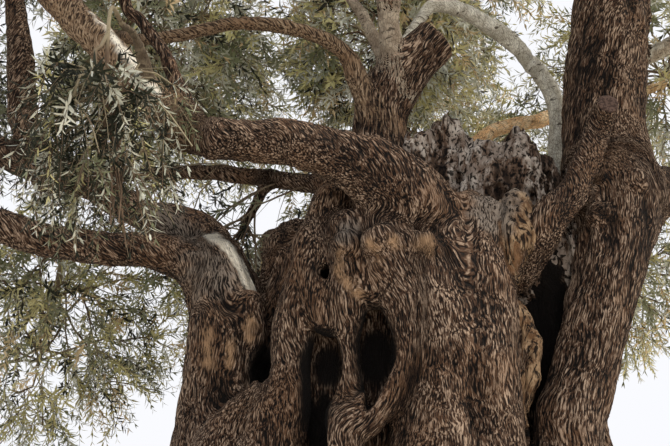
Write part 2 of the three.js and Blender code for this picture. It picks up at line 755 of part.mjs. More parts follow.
// A mass of foliage: a stem from its limb's tip into its space, twigs from the stem to all sides, and
// blades on the twigs.
function massSolid(mass, seed, wood) {
  const random = seededNumbers(seed);
  const clearOfWood = (place) =>
    wood.every(({ middle, radius }) => middle.distanceTo(place) > radius + GROWTH.limbGap);
  const fits = (places) => places.every((place) => ownSpace(place, mass) && clearOfWood(place));
  const half = new THREE.Vector3(...mass.half);
  const { centre, stemEnd, stations } = massStem(mass);
  const pieces = [limbSolid(stations, TWIG_SIDES + 1, 1)];
  const twigs = mass.twigs ?? GROWTH.twigs;
  for (let twig = 0; twig < twigs; twig++) {
    const height = 1 - (2 * (twig + 0.5)) / twigs;
    const bearing = twig * GOLDEN_ANGLE + 0.6 * (random() - 0.5) + seed;
    const level = Math.sqrt(1 - height * height);
    const outward = new THREE.Vector3(level * Math.cos(bearing), level * Math.sin(bearing), height);
    const root = centre.clone().lerp(stemEnd, (twig + 0.5) / twigs);
    const length = THREE.MathUtils.lerp(...GROWTH.sprayLength, random());
    const turn = 1.2 * (random() - 0.5);
    for (let reach = GROWTH.twigReach; reach > 0.4; reach -= GROWTH.reachStep) {
      const tip = centre.clone().add(outward.clone().multiply(half).multiplyScalar(reach));
      const along = tip.clone().sub(root).normalize();
      const end = tip.clone().addScaledVector(along, -length);
      const middle = root.clone().lerp(end, 0.5);
      middle.z += GROWTH.twigLift * root.distanceTo(end);
      const blade = bladeAt(end, along, UP, turn, length);
      if (end.distanceTo(root) < length * 0.3 || !fits([middle, end, ...bladeCorners(blade)])) continue;
      const radii = [GROWTH.twigRadius, GROWTH.twigRadius, GROWTH.twigTip];
      pieces.push(twigSolid([root, middle, end], radii, blade));
      const blades = GROWTH.sideBlades[twig % 2];
      for (let order = 0; order < blades; order++) {
        const share = THREE.MathUtils.lerp(...GROWTH.bladePlaces, (order + 0.5) / blades);
        const [from, to] = share < 0.5 ? [root, middle] : [middle, end];
        const place = from.clone().lerp(to, share < 0.5 ? share * 2 : share * 2 - 1);
        const onward = to.clone().sub(from).normalize();
        for (let attempt = 0; attempt < GROWTH.tries; attempt++) {
          const shrink = THREE.MathUtils.lerp(1, GROWTH.shortestSpray, attempt / (GROWTH.tries - 1));
          const side = sideBlade({ place, onward, outward, order: order + attempt, shrink, random });
          if (!fits(bladeCorners(side))) continue;
          pieces.push(bladeSolid(side));
          break;
        }
      }
      break;
    }
  }
  return largestBody(joined(pieces));
}

// Puts the tree together: each new piece is cut clear of the grown shape of what it grows from.
function oliveTree() {
  const tree = new THREE.Group();
  const below = belowGround();
  const put = (name, finish, solid) => {
    const mesh = new THREE.Mesh(geometryFrom(solid), new THREE.MeshStandardMaterial(FINISHES[finish]));
    mesh.name = name;
    tree.add(mesh);
  };
  const placed = [];
  const place = (name, finish, make) => {
    let solid = make(0);
    for (const grown of placed) {
      if (solid.intersect(grown).volume() > 0) solid = solid.subtract(grown);
    }
    solid = largestBody(solid.subtract(below));
    placed.push(make(CLEARANCE));
    put(name, finish, solid);
  };
  place("trunk", "bark", trunkSolid);
  for (const [name, stations] of Object.entries(BARE_SLABS)) {
    place(name, "bare_wood", (clearance) => limbSolid(stations, 8, 1, clearance));
  }
  place("dead_crest", "dead_wood", crestSolid);
  for (const [name, { stations, sides }] of Object.entries(LIMBS)) {
    const finish = PALE_LIMBS.includes(name) ? "smooth_bark" : "bark";
    place(name, finish, (clearance) => limbSolid(stations, sides, 1, clearance));
  }
  const wood = limbBalls();
  Object.entries(MASSES).forEach(([name, mass], index) => {
    const ownWood = wood.filter(({ middle }) => middle.distanceTo(limbTip(LIMBS[mass.limb]).end) > 1);
    put(name, "leaves", massSolid(mass, index + GROWTH.seed, ownWood));
  });
  return tree;
}

export default oliveTree();
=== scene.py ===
"""A very old olive tree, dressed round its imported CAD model, in metres.

The wood is one field that joins every rib and limb softly. Each piece of wood is the surface of that field near its
own limbs, with the bark's relief raised on it along the grain. The crown grows on from the limbs' tips: boughlets,
twigs and leafy shoots, each mass within its own space.
"""

import logging
import math
from collections.abc import Iterable
from dataclasses import dataclass, field, replace
from enum import Enum
from typing import ClassVar

import bpy
import numpy as np
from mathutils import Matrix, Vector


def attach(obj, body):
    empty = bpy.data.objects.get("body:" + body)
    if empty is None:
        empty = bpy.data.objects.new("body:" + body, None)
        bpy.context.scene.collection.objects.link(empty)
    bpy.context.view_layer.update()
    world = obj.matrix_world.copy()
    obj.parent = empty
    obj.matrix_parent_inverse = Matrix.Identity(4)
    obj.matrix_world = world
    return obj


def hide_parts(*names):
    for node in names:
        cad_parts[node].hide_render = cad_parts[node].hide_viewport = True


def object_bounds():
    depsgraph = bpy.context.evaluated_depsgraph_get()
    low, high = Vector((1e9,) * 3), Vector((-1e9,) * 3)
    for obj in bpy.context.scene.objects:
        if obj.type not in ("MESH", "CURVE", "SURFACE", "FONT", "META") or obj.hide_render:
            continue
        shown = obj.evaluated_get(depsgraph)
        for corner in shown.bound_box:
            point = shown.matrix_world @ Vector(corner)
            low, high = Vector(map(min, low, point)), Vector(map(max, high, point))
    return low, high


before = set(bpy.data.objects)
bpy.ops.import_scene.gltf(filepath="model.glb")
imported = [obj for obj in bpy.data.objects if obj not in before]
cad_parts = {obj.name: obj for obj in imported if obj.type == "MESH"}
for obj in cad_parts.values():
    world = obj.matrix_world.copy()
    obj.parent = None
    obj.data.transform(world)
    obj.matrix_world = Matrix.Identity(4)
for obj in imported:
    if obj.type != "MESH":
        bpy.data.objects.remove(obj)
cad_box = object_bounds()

import openvdb
from mathutils import Vector

logging.basicConfig(level=logging.INFO, format="%(message)s")
log = logging.getLogger("olive_tree")

Array = np.ndarray
Station = tuple[float, float, float, float]
Point = tuple[float, float, float]

MM = 0.001
BODY = "root"
GOLDEN_ANGLE = math.pi * (3 - math.sqrt(5))
UP = np.array([0.0, 0.0, 1.0])


def linear(red: int, green: int, blue: int) -> tuple[float, float, float, float]:
    """A colour as seen on a screen, 0 to 255, as the linear light that a shader takes, with full alpha."""
    shares = (value / 255 for value in (red, green, blue))
    return (*(s / 12.92 if s <= 0.04045 else ((s + 0.055) / 1.055) ** 2.4 for s in shares), 1.0)


def unit(vectors: Array) -> Array:
    """Vectors at length one."""
    return vectors / np.maximum(np.linalg.norm(vectors, axis=-1, keepdims=True), 1e-9)


def ramp(value: Array, low: float, high: float) -> Array:
    """A smooth step from 0 at low to 1 at high."""
    share = np.clip((value - low) / (high - low), 0, 1)
    return share * share * (3 - 2 * share)


def soft_min(first: Array, second: Array, blend: float) -> Array:
    """The lower of two distances, rounded where they come within blend of each other."""
    share = np.maximum(blend - np.abs(first - second), 0) / blend
    return np.minimum(first, second) - share**3 * blend / 6


def smooth_line(points: Array, steps: int) -> Array:
    """The smooth line through points, which the CAD limbs follow too, with some steps for each span."""
    ends = np.vstack([2 * points[0] - points[1], points, 2 * points[-1] - points[-2]])
    t = np.linspace(0, 1, steps, endpoint=False)[:, None]
    samples = []
    for before, start, end, after in zip(ends, ends[1:], ends[2:], ends[3:]):
        leave, arrive = (end - before) / 2, (after - start) / 2
        samples.append(
            (2 * t**3 - 3 * t**2 + 1) * start
            + (t**3 - 2 * t**2 + t) * leave
            + (3 * t**2 - 2 * t**3) * end
            + (t**3 - t**2) * arrive
        )
    return np.vstack([*samples, points[-1:]])


def turned(vectors: Array, start: Array, end: Array) -> Array:
    """Vectors turned by the least turn that takes direction start to direction end."""
    axis = np.cross(start, end)
    cosine = float(start @ end)
    return vectors * cosine + np.cross(axis, vectors) + np.outer(vectors @ axis, axis) / (1 + cosine)


class Noise:
    """Smooth seeded noise from -1 to 1, on a lattice that repeats far apart."""

    SIDE = 64

    def __init__(self, seed: int) -> None:
        """Fills the lattice from a seed."""
        random = np.random.default_rng(seed)
        self.lattice = random.uniform(-1, 1, (self.SIDE,) * 3).astype(np.float32)
        self.turn = np.linalg.qr(random.normal(size=(3, 3)))[0]

    def at(self, places: Array, size: float | Point) -> Array:
        """The noise at places in metres, with bumps of a size, the same all ways or for each axis."""
        scaled = (places / np.asarray(size)) @ self.turn
        cell = np.floor(scaled)
        share = scaled - cell
        share = share * share * (3 - 2 * share)
        low = cell.astype(np.int64) % self.SIDE
        high = (low + 1) % self.SIDE
        total = np.zeros(len(places))
        for corner in range(8):
            picks = [(high if corner >> axis & 1 else low)[:, axis] for axis in range(3)]
            weights = [(share if corner >> axis & 1 else 1 - share)[:, axis] for axis in range(3)]
            total += self.lattice[tuple(picks)] * weights[0] * weights[1] * weights[2]
        return total

    def ridges(self, places: Array, size: float | Point) -> Array:
        """Rounded ridges from -1 to 1, highest along lines."""
        return np.maximum(1 - 2.9 * np.abs(self.at(places, size)), -1)


NOISE = Noise(11)


@dataclass(frozen=True)
class Bone:
    """A tapering limb or rib.

    Attributes:
        name: What it is on the tree.
        stations: Places along its middle, x, y, z and radius in millimetres.
        blend: How softly it melts into what it grows from, in millimetres.
        sawn: Whether its far end is a flat saw cut.
    """

    name: str
    stations: tuple[Station, ...]
    blend: float = 60.0
    sawn: bool = False


@dataclass(frozen=True)
class Core:
    """The trunk's core: a turned profile, flattened from front to back.

    Attributes:
        profile: Reach and height, in millimetres.
        flatness: Its depth as a share of its width.
        shift: How far its axis stands to the side, in millimetres.
    """

    profile: tuple[tuple[float, float], ...] = (
        (1020, -80), (900, 300), (760, 900), (660, 1500), (560, 1950), (380, 2080),
    )
    flatness: float = 0.72
    shift: float = -60

    def distance(self, places: Array) -> Array:
        """How far places are outside the core, less than 0 within it."""
        reach, height = (np.array(column) * MM for column in zip(*self.profile))
        across = np.hypot(places[:, 0] - self.shift * MM, places[:, 1] / self.flatness)
        side = (across - np.interp(places[:, 2], height, reach)) * self.flatness
        return np.maximum(side, places[:, 2] - height[-1])


@dataclass(frozen=True)
class Hollow:
    """An egg-shaped hollow: its middle and half sizes in millimetres, and its lean in degrees."""

    middle: Point
    half: Point
    lean: float = 0.0

    def distance(self, places: Array) -> Array:
        """How far places are outside the hollow."""
        x, y, z = (places - np.array(self.middle) * MM).T
        cosine, sine = math.cos(math.radians(self.lean)), math.sin(math.radians(self.lean))
        local = np.stack([x * cosine - z * sine, y, x * sine + z * cosine], 1)
        half = np.array(self.half) * MM
        out = np.linalg.norm(local / half, axis=1)
        slope = np.maximum(np.linalg.norm(local / half**2, axis=1), 1e-6)
        return out * (out - 1) / slope

    def painted_shade(self, places: Array) -> Array:
        """How much painted shade darkens places on the hollow's walls, from 0 at its mouth to 1 in its depth."""
        inward = (places[:, 1] - self.middle[1] * MM) / (self.half[1] * MM)
        return ramp(inward, 0.12, 0.5) * (1 - ramp(self.distance(places), 0.02, 0.07))


class Skeleton:
    """The bones as short tapering segments, which say how far a place is from the wood and where it lies."""

    STEPS = 5
    JOINT_BLEND = 0.016

    def __init__(self, bones: Iterable[Bone]) -> None:
        """Cuts each bone into segments with directions of their own."""
        self.bones = list(bones)
        rows: list[Array] = []
        self.first: list[int] = []
        for bone in self.bones:
            stations = np.array(bone.stations, float) * MM
            line = smooth_line(stations[:, :3], self.STEPS)
            spans = len(stations) - 1
            radii = np.interp(np.arange(len(line)) / self.STEPS, np.arange(spans + 1), stations[:, 3])
            self.first.append(len(rows))
            rows.extend(self._segments(line, radii))
        table = np.array(rows)
        self.start, self.along, self.side, self.depth = (table[:, i : i + 3] for i in (0, 3, 6, 9))
        self.radius, self.taper, self.arc = table[:, 12], table[:, 13], table[:, 14]
        self.length2 = np.maximum((self.along**2).sum(1), 1e-12)
        self.last = [*self.first[1:], len(rows)]
        self.blends = np.array([bone.blend for bone in self.bones]) * MM
        self.index = {bone.name: i for i, bone in enumerate(self.bones)}

    @staticmethod
    def _segments(line: Array, radii: Array) -> list[Array]:
        """One row for each segment: start, along, two directions across, radius, taper and arc length."""
        along = np.diff(line, axis=0)
        heading = unit(along)
        across = turned(np.eye(3)[:2], UP, heading[0])
        rows, arc = [], 0.0
        for i, step in enumerate(along):
            if i:
                across = turned(across, heading[i - 1], heading[i])
            sizes = [radii[i], radii[i + 1] - radii[i], arc]
            rows.append(np.concatenate([line[i], step, across.ravel(), sizes]))
            arc += float(np.linalg.norm(step))
        return rows

    def _measure(self, places: Array, picks: Array) -> tuple[Array, Array]:
        """Distance of places from each picked segment's skin, and the share along it of the nearest point."""
        offset = places[:, None, :] - self.start[picks]
        share = np.clip(np.einsum("nsi,si->ns", offset, self.along[picks]) / self.length2[picks], 0, 1)
        offset -= share[:, :, None] * self.along[picks]
        radius = self.radius[picks] + share * self.taper[picks]
        return np.sqrt(np.einsum("nsi,nsi->ns", offset, offset)) - radius, share

    def near(self, middle: Array, reach: float) -> tuple[list[int], Array, Array]:
        """The bones within reach of a place, their segments in a row, and where each bone's begin."""
        away = self._measure(middle[None], np.arange(len(self.start)))[0][0]
        nearest = np.minimum.reduceat(away, self.first)
        bones = np.flatnonzero(nearest < reach + self.blends + 0.03)
        picks, begins, count = [], [], 0
        for bone in bones:
            own = np.arange(self.first[bone], self.last[bone])
            own = own[away[own] < nearest[bone] + 2 * reach]
            begins.append(count)
            count += len(own)
            picks.append(own)
        return list(bones), np.concatenate(picks) if picks else np.empty(0, int), np.array(begins, int)

    def distances(self, places: Array, picks: Array, begins: Array) -> Array:
        """Distance of places from each near bone, one column for each."""
        return np.minimum.reduceat(self._measure(places, picks)[0], begins, axis=1)

    def unbent(self, places: Array, picks: Array) -> tuple[Array, Array, Array]:
        """Where places would lie if one bone were straight.

        Args:
            places: Points near the bone.
            picks: That bone's near segments.

        Returns:
            The unbent places, their distances from the bone, and its radius there.
        """
        away = self._measure(places, picks)[0]
        weight = np.exp(-(away - away.min(1, keepdims=True)) / self.JOINT_BLEND)
        weight /= weight.sum(1, keepdims=True)
        root = max(first for first in self.first if first <= picks[0])
        straight, radius = np.zeros_like(places), np.zeros(len(places))
        for column, segment in enumerate(picks):
            offset, along = places - self.start[segment], self.along[segment]
            share = np.clip(offset @ along / self.length2[segment], -1.5, 2.5)
            offset = offset - share[:, None] * along
            arc = self.arc[segment] + share * math.sqrt(self.length2[segment])
            lain = (offset @ self.side[segment])[:, None] * self.side[root]
            lain += (offset @ self.depth[segment])[:, None] * self.depth[root]
            lain += self.start[root] + arc[:, None] * unit(self.along[root])
            straight += weight[:, column, None] * lain
            radius += weight[:, column] * (self.radius[segment] + np.clip(share, 0, 1) * self.taper[segment])
        return straight, away.min(1), radius

    def clear(self, places: Array, gap: float) -> Array:
        """Whether each place is further than gap from all the wood."""
        middle = places.mean(0)
        reach = float(np.linalg.norm(places - middle, axis=1).max()) + gap
        _, picks, _ = self.near(middle, reach)
        if not len(picks):
            return np.ones(len(places), bool)
        return self._measure(places, picks)[0].min(1) > gap


class Mark(Enum):
    """What a patch of bark shows: tan, grey, pale or bare bark, or painted shade."""

    TAN = "tan"
    GREY = "grey"
    PALE = "pale"
    BARE = "bare"
    # Painted shade in hollows, clefts, grooves and under ledges, kept as the "dark" attribute.
    DARK = "dark"


@dataclass(frozen=True)
class Patch:
    """A marked stretch of bark: a line of places with radii, in millimetres, soft at its edge."""

    mark: Mark
    stations: tuple[Station, ...]
    edge: float = 40.0

    def cover(self, places: Array) -> Array:
        """How far each place is within the patch, from 0 to 1."""
        line = np.array(self.stations, float) * MM
        best = np.full(len(places), 9.0)
        ends = line[1:] if len(line) > 1 else line
        for start, end in zip(line, ends):
            along = end[:3] - start[:3]
            share = np.clip((places - start[:3]) @ along / max(along @ along, 1e-12), 0, 1)
            away = np.linalg.norm(places - start[:3] - share[:, None] * along, axis=1)
            best = np.minimum(best, away - start[3] - share * (end[3] - start[3]))
        best += 0.35 * self.edge * MM * NOISE.at(places, 0.03)
        return 1 - ramp(best, -0.5 * self.edge * MM, 0.5 * self.edge * MM)


@dataclass(frozen=True)
class Relief:
    """The relief of a piece of wood, as depths in millimetres.

    Attributes:
        ropes: Long rope-like folds.
        knots: Rounded lumps.
        furrows: Furrows between the bark's ridges.
        grit: Small roughness.
        crags: How far dead wood is eaten into.
    """

    ropes: float = 12.0
    knots: float = 10.0
    furrows: float = 6.0
    grit: float = 2.5
    crags: float = 0.0

    def height(self, grain: Array, girth: Array) -> Array:
        """How far the surface stands out, in metres, at places on a limb's straight grain."""
        bent = grain + 0.03 * np.stack([NOISE.at(grain + shift, 0.21) for shift in (0.0, 5.3, 9.1)], 1)
        thick = np.clip(girth / 0.17, 0.12, 1)
        height = thick * self.ropes * NOISE.ridges(bent, (0.11, 0.11, 0.9))
        height += thick * self.knots * NOISE.at(bent + 3.1, 0.14)
        height += thick**0.5 * self.furrows * NOISE.ridges(bent + 7.7, (0.036, 0.036, 0.24))
        height += thick**0.5 * self.grit * NOISE.at(bent + 1.9, (0.028, 0.028, 0.06))
        return height * MM

    def eaten(self, places: Array) -> Array:
        """How far rot has eaten into dead wood, in metres, less where it stands out."""
        if not self.crags:
            return np.zeros(len(places))
        deep = 0.7 * NOISE.at(places, (0.09, 0.09, 0.14)) - 0.6 * NOISE.ridges(places + 4.4, (0.075, 0.075, 0.16))
        return self.crags * MM * (deep - 0.3 * NOISE.ridges(places + 8.2, (0.034, 0.034, 0.06)))


class Wire:
    """A shader socket that takes part in Python expressions, which add Math nodes."""

    def __init__(self, board: "Board", socket: bpy.types.NodeSocket) -> None:
        """Wraps a node's output."""
        self.board = board
        self.socket = socket

    def _with(self, operation: str, first: "Wire | float", second: "Wire | float") -> "Wire":
        """A Math node on two values."""
        sockets = {"Value": first, "Value_001": second}
        return self.board.node("ShaderNodeMath", {"operation": operation}, sockets)

    def __add__(self, other: "Wire | float") -> "Wire":
        """The sum."""
        return self._with("ADD", self, other)

    def __sub__(self, other: "Wire | float") -> "Wire":
        """The difference."""
        return self._with("SUBTRACT", self, other)

    def __rsub__(self, other: float) -> "Wire":
        """The difference, the other way round."""
        return self._with("SUBTRACT", other, self)

    def __mul__(self, other: "Wire | float") -> "Wire":
        """The product."""
        return self._with("MULTIPLY", self, other)

    def step(self, low: float, high: float) -> "Wire":
        """A smooth step from 0 at low to 1 at high."""
        sockets = {"Value": self, "From Min": low, "From Max": high}
        return self.board.node("ShaderNodeMapRange", {"interpolation_type": "SMOOTHSTEP"}, sockets, "Result")


def join(tree: bpy.types.NodeTree, value: object, socket: bpy.types.NodeSocket) -> None:
    """Gives a socket a value, or a link from another socket."""
    if isinstance(value, Wire):
        value = value.socket
    if isinstance(value, bpy.types.NodeSocket):
        tree.links.new(value, socket)
    else:
        socket.default_value = value


def add_node(
    tree: bpy.types.NodeTree, kind: str, settings: dict[str, object], sockets: dict[str, object]
) -> bpy.types.Node:
    """Adds a node to a tree.

    Args:
        tree: A material's or a grower's tree.
        kind: The node's type.
        settings: Its properties, which are set first.
        sockets: Values or links for its inputs, by identifier.

    Returns:
        The node.
    """
    node = tree.nodes.new(kind)
    for key, value in settings.items():
        setattr(node, key, value)
    for key, value in sockets.items():
        join(tree, value, next(s for s in node.inputs if s.identifier == key))
    return node


class Board:
    """A material's node tree."""

    def __init__(self, name: str) -> None:
        """Starts a material with only its shader and output."""
        self.material = bpy.data.materials.new(name)
        self.material.use_nodes = True
        self.tree = self.material.node_tree
        self.shader = self.tree.nodes["Principled BSDF"]

    def node(
        self, kind: str, settings: dict[str, object], sockets: dict[str, object], output: str = "Value"
    ) -> Wire:
        """Adds a node and gives its output of that identifier."""
        node = add_node(self.tree, kind, settings, sockets)
        return Wire(self, next(s for s in node.outputs if s.identifier == output))

    def share(self, name: str) -> Wire:
        """A number from the piece's own attribute."""
        return self.node("ShaderNodeAttribute", {"attribute_name": name}, {}, "Fac")

    def grain(self) -> Wire:
        """The place along the straightened grain."""
        return self.node("ShaderNodeAttribute", {"attribute_name": "grain"}, {}, "Vector")

    def place(self) -> Wire:
        """The place on the object."""
        return self.node("ShaderNodeTexCoord", {}, {}, "Object")

    def vector(self, operation: str, first: Wire, second: Wire | Point) -> Wire:
        """A vector made of two."""
        sockets = {"Vector": first, "Vector_001": second}
        return self.node("ShaderNodeVectorMath", {"operation": operation}, sockets, "Vector")

    def scaled(self, vector: Wire, by: Point) -> Wire:
        """A vector times a size for each axis."""
        return self.vector("MULTIPLY", vector, by)

    def noise(self, vector: Wire, scale: float, detail: float = 2.0, output: str = "Fac") -> Wire:
        """Cloudy noise, about 0 to 1."""
        sockets = {"Vector": vector, "Scale": scale, "Detail": detail, "Roughness": 0.55}
        return self.node("ShaderNodeTexNoise", {}, sockets, output)

    def cells(self, vector: Wire) -> Wire:
        """How far places are from the edges of cells of about one unit."""
        sockets = {"Vector": vector, "Scale": 1.0}
        return self.node("ShaderNodeTexVoronoi", {"feature": "DISTANCE_TO_EDGE"}, sockets, "Distance")

    def mixed(self, share: Wire | float, first: object, second: object) -> Wire:
        """A colour between two colours."""
        sockets = {"Factor_Float": share, "A_Color": first, "B_Color": second}
        return self.node("ShaderNodeMix", {"data_type": "RGBA"}, sockets, "Result_Color")

    def wavy(self, vector: Wire, size: float, depth: float) -> Wire:
        """A vector bent to and fro by depth, over waves of a size, in metres."""
        cloud = self.noise(vector, 1 / size, 1.0, "Color")
        centred = self.vector("SUBTRACT", cloud, (0.5,) * 3)
        return self.vector("ADD", vector, self.scaled(centred, (depth, depth, depth * 0.6)))

    def finish(self, colour: Wire, roughness: Wire | float, height: Wire, depth: float) -> bpy.types.Material:
        """Joins colour, roughness and a relief from 0 to about 1, depth metres deep, to the shader."""
        bump = {"Strength": 1.0, "Distance": depth, "Height": height}
        normal = self.node("ShaderNodeBump", {}, bump, "Normal")
        links = {"Base Color": colour, "Roughness": roughness, "Normal": normal, "Specular IOR Level": 0.25}
        for key, value in links.items():
            join(self.tree, value, self.shader.inputs[key])
        return self.material


@dataclass(frozen=True)
class Finish:
    """A kind of wood or leaf, with a slot name for it."""

    slot: ClassVar[str] = "bark"
    name: str

    def material(self) -> bpy.types.Material:
        """The finish as a material."""
        raise NotImplementedError


@dataclass(frozen=True)
class OldBark(Finish):
    """Old furrowed bark: wavy ridges along the grain, dark between them, with tan burls, grey and pale patches;
    painted shade darkens its furrows, hollows and sunken places, and painted highlight lightens its ridges.

    Attributes:
        width: A ridge's width across the grain, in metres.
        length: How long a ridge runs along the grain.
        depth: How deep the furrows between ridges are.
    """

    name: str = "old_bark"
    width: float = 0.0080
    length: float = 0.060
    depth: float = 0.014
    furrow_and_shade_colour: tuple = linear(11, 6, 4)
    body_colour: tuple = linear(76, 55, 41)
    ridge_and_highlight_colour: tuple = linear(172, 150, 130)
    gold_colour: tuple = linear(112, 80, 54)
    tan_colour: tuple = linear(172, 140, 108)
    grey_colour: tuple = linear(134, 125, 116)
    pale_colour: tuple = linear(250, 244, 230)
    bare_colour: tuple = linear(138, 102, 70)

    def material(self) -> bpy.types.Material:
        """The finish as a material."""
        board = Board(self.name)
        grain = board.wavy(board.wavy(board.grain(), 0.16, 0.05), 0.04, 0.008)
        across = 1 / self.width
        waves = board.noise(board.scaled(grain, (1.0, 1.0, self.width / self.length)), across, 1.0)
        cells = board.scaled(grain, (across * 0.7, across * 0.7, 0.7 / self.length))
        plates = board.cells(cells)
        fibre = board.noise(board.scaled(grain, (1.0, 1.0, 0.3)), 260.0, 2.0)
        blotch = board.noise(board.grain(), 13.0, 3.0)
        cloud = board.noise(board.grain(), 3.2, 2.0)
        relief, tan, grey = board.share("relief"), board.share("tan"), board.share("grey")
        smooth = tan * blotch.step(0.15, 0.45)
        ridge = waves.step(0.4, 0.58) * 0.68 + plates.step(0.0, 0.22) * 0.32
        ridge = ridge * (1 - smooth * 0.5) + smooth * 0.36
        # Raised relief lifts the tone: painted light on raised bark.
        lit = ridge + (fibre - 0.5) * 0.8 + relief * 0.16
        # The bark's own dark furrows and pale ridges, deepened by painted shade in the furrows and painted
        # highlight on the ridges.
        colour = board.mixed(lit.step(0.12, 0.56), self.furrow_and_shade_colour, self.body_colour)
        colour = board.mixed(lit.step(0.62, 1.2), colour, self.ridge_and_highlight_colour)
        colour = board.mixed(cloud.step(0.45, 0.68) * lit.step(0.2, 0.9) * 0.5, colour, self.gold_colour)
        colour = board.mixed(grey * lit.step(0.15, 0.7) * 0.85, colour, self.grey_colour)
        colour = board.mixed(smooth * lit.step(0.0, 0.6) * 0.85, colour, self.tan_colour)
        colour = board.mixed(board.share("bare") * 0.9, colour, self.bare_colour)
        # The pale mark's streaks: partly pale bark, partly painted highlight.
        colour = board.mixed(board.share("pale") * (waves + fibre * 0.5).step(0.5, 0.66), colour, self.pale_colour)
        # Painted shade: sunken relief, the hollows and the dark mark are darkened towards the furrow colour.
        deep = (0.0 - relief).step(0.1, 1.6) * 0.6 + board.share("dark") * 0.97
        colour = board.mixed(deep.step(0.0, 1.0), colour, self.furrow_and_shade_colour)
        return board.finish(colour, 0.93, ridge * 0.8 + fibre * 0.2, self.depth)


@dataclass(frozen=True)
class SmoothBark(Finish):
    """Paler bark of the younger limbs: fine cracks along the grain, lichen, small dark notches, and painted shade
    where the dark mark lies.

    Attributes:
        body_colour: The bark's own colour.
        light_colour: Its light blotches.
    """

    slot: ClassVar[str] = "smooth_bark"
    name: str = "smooth_bark"
    body_colour: tuple = linear(148, 136, 118)
    light_colour: tuple = linear(196, 192, 176)
    crack_colour: tuple = linear(66, 56, 46)
    depth: float = 0.003

    def material(self) -> bpy.types.Material:
        """The finish as a material."""
        board = Board(self.name)
        grain = board.wavy(board.grain(), 0.06, 0.02)
        fine = board.cells(board.scaled(grain, (95.0, 95.0, 26.0)))
        fibre = board.noise(board.scaled(grain, (1.0, 1.0, 0.15)), 190.0, 2.0)
        blotch = board.noise(board.grain(), 16.0, 3.0)
        notch = board.noise(board.scaled(board.grain(), (1.0, 1.0, 2.2)), 21.0, 1.0)
        crack = fine.step(0.0, 0.14)
        colour = board.mixed(blotch.step(0.4, 0.66), self.body_colour, self.light_colour)
        colour = board.mixed((1 - crack) * 0.6, colour, self.crack_colour)
        colour = board.mixed(fibre.step(0.45, 0.8) * 0.25, colour, self.light_colour)
        colour = board.mixed(notch.step(0.64, 0.7) * 0.85, colour, self.crack_colour)
        # Painted shade where the dark mark lies, in clefts and crotches.
        colour = board.mixed(board.share("dark") * 0.97, colour, linear(15, 10, 8))
        return board.finish(colour, 0.85, crack * 0.6 + fibre * 0.4, self.depth)


OLD_BARK = OldBark()
GREY_BARK = SmoothBark("grey_bark", linear(136, 122, 106), linear(172, 160, 142))
WORN_BARK = OldBark(
    "worn_bark", depth=0.006, furrow_and_shade_colour=linear(48, 36, 27), body_colour=linear(120, 98, 77),
    ridge_and_highlight_colour=linear(164, 145, 122),
)
SILVER_BARK = SmoothBark("pale_bark", linear(184, 180, 166), linear(226, 224, 212))
TAWNY_BARK = SmoothBark("tawny_bark", linear(222, 178, 128), linear(240, 214, 174))
YOUNG_BARK = SmoothBark("young_bark", linear(92, 80, 66), linear(128, 116, 98))


@dataclass(frozen=True)
class DeadWood(Finish):
    """Weathered dead wood: grey and brown, craggy and streaked along the grain, with painted shade in its pits."""

    slot: ClassVar[str] = "dead_wood"
    name: str = "dead_wood"
    grey_colour: tuple = linear(184, 174, 164)
    brown_colour: tuple = linear(92, 72, 58)
    pit_shade_colour: tuple = linear(13, 9, 7)
    depth: float = 0.014

    def material(self) -> bpy.types.Material:
        """The finish as a material."""
        board = Board(self.name)
        grain = board.wavy(board.grain(), 0.05, 0.035)
        fibre = board.noise(board.scaled(grain, (1.0, 1.0, 0.14)), 120.0, 3.0)
        crags = board.noise(board.scaled(grain, (1.0, 1.0, 0.6)), 64.0, 4.0)
        cloud = board.noise(board.grain(), 9.0, 3.0)
        relief = board.share("relief")
        # Raised relief turns the wood grey: partly painted light on raised wood.
        lit = fibre * 0.6 + crags * 0.6 + relief * 0.25
        colour = board.mixed(lit.step(0.5, 0.85), self.brown_colour, self.grey_colour)
        colour = board.mixed(cloud.step(0.4, 0.6) * 0.6, colour, self.brown_colour)
        # Painted shade: low crags and sunken relief go near black.
        pits = (1 - crags.step(0.38, 0.52)) * 0.85 + (0.0 - relief).step(0.0, 1.0) * 0.7
        colour = board.mixed(pits.step(0.0, 1.0), colour, self.pit_shade_colour)
        return board.finish(colour, 0.97, crags * 0.6 + fibre * 0.4, self.depth)


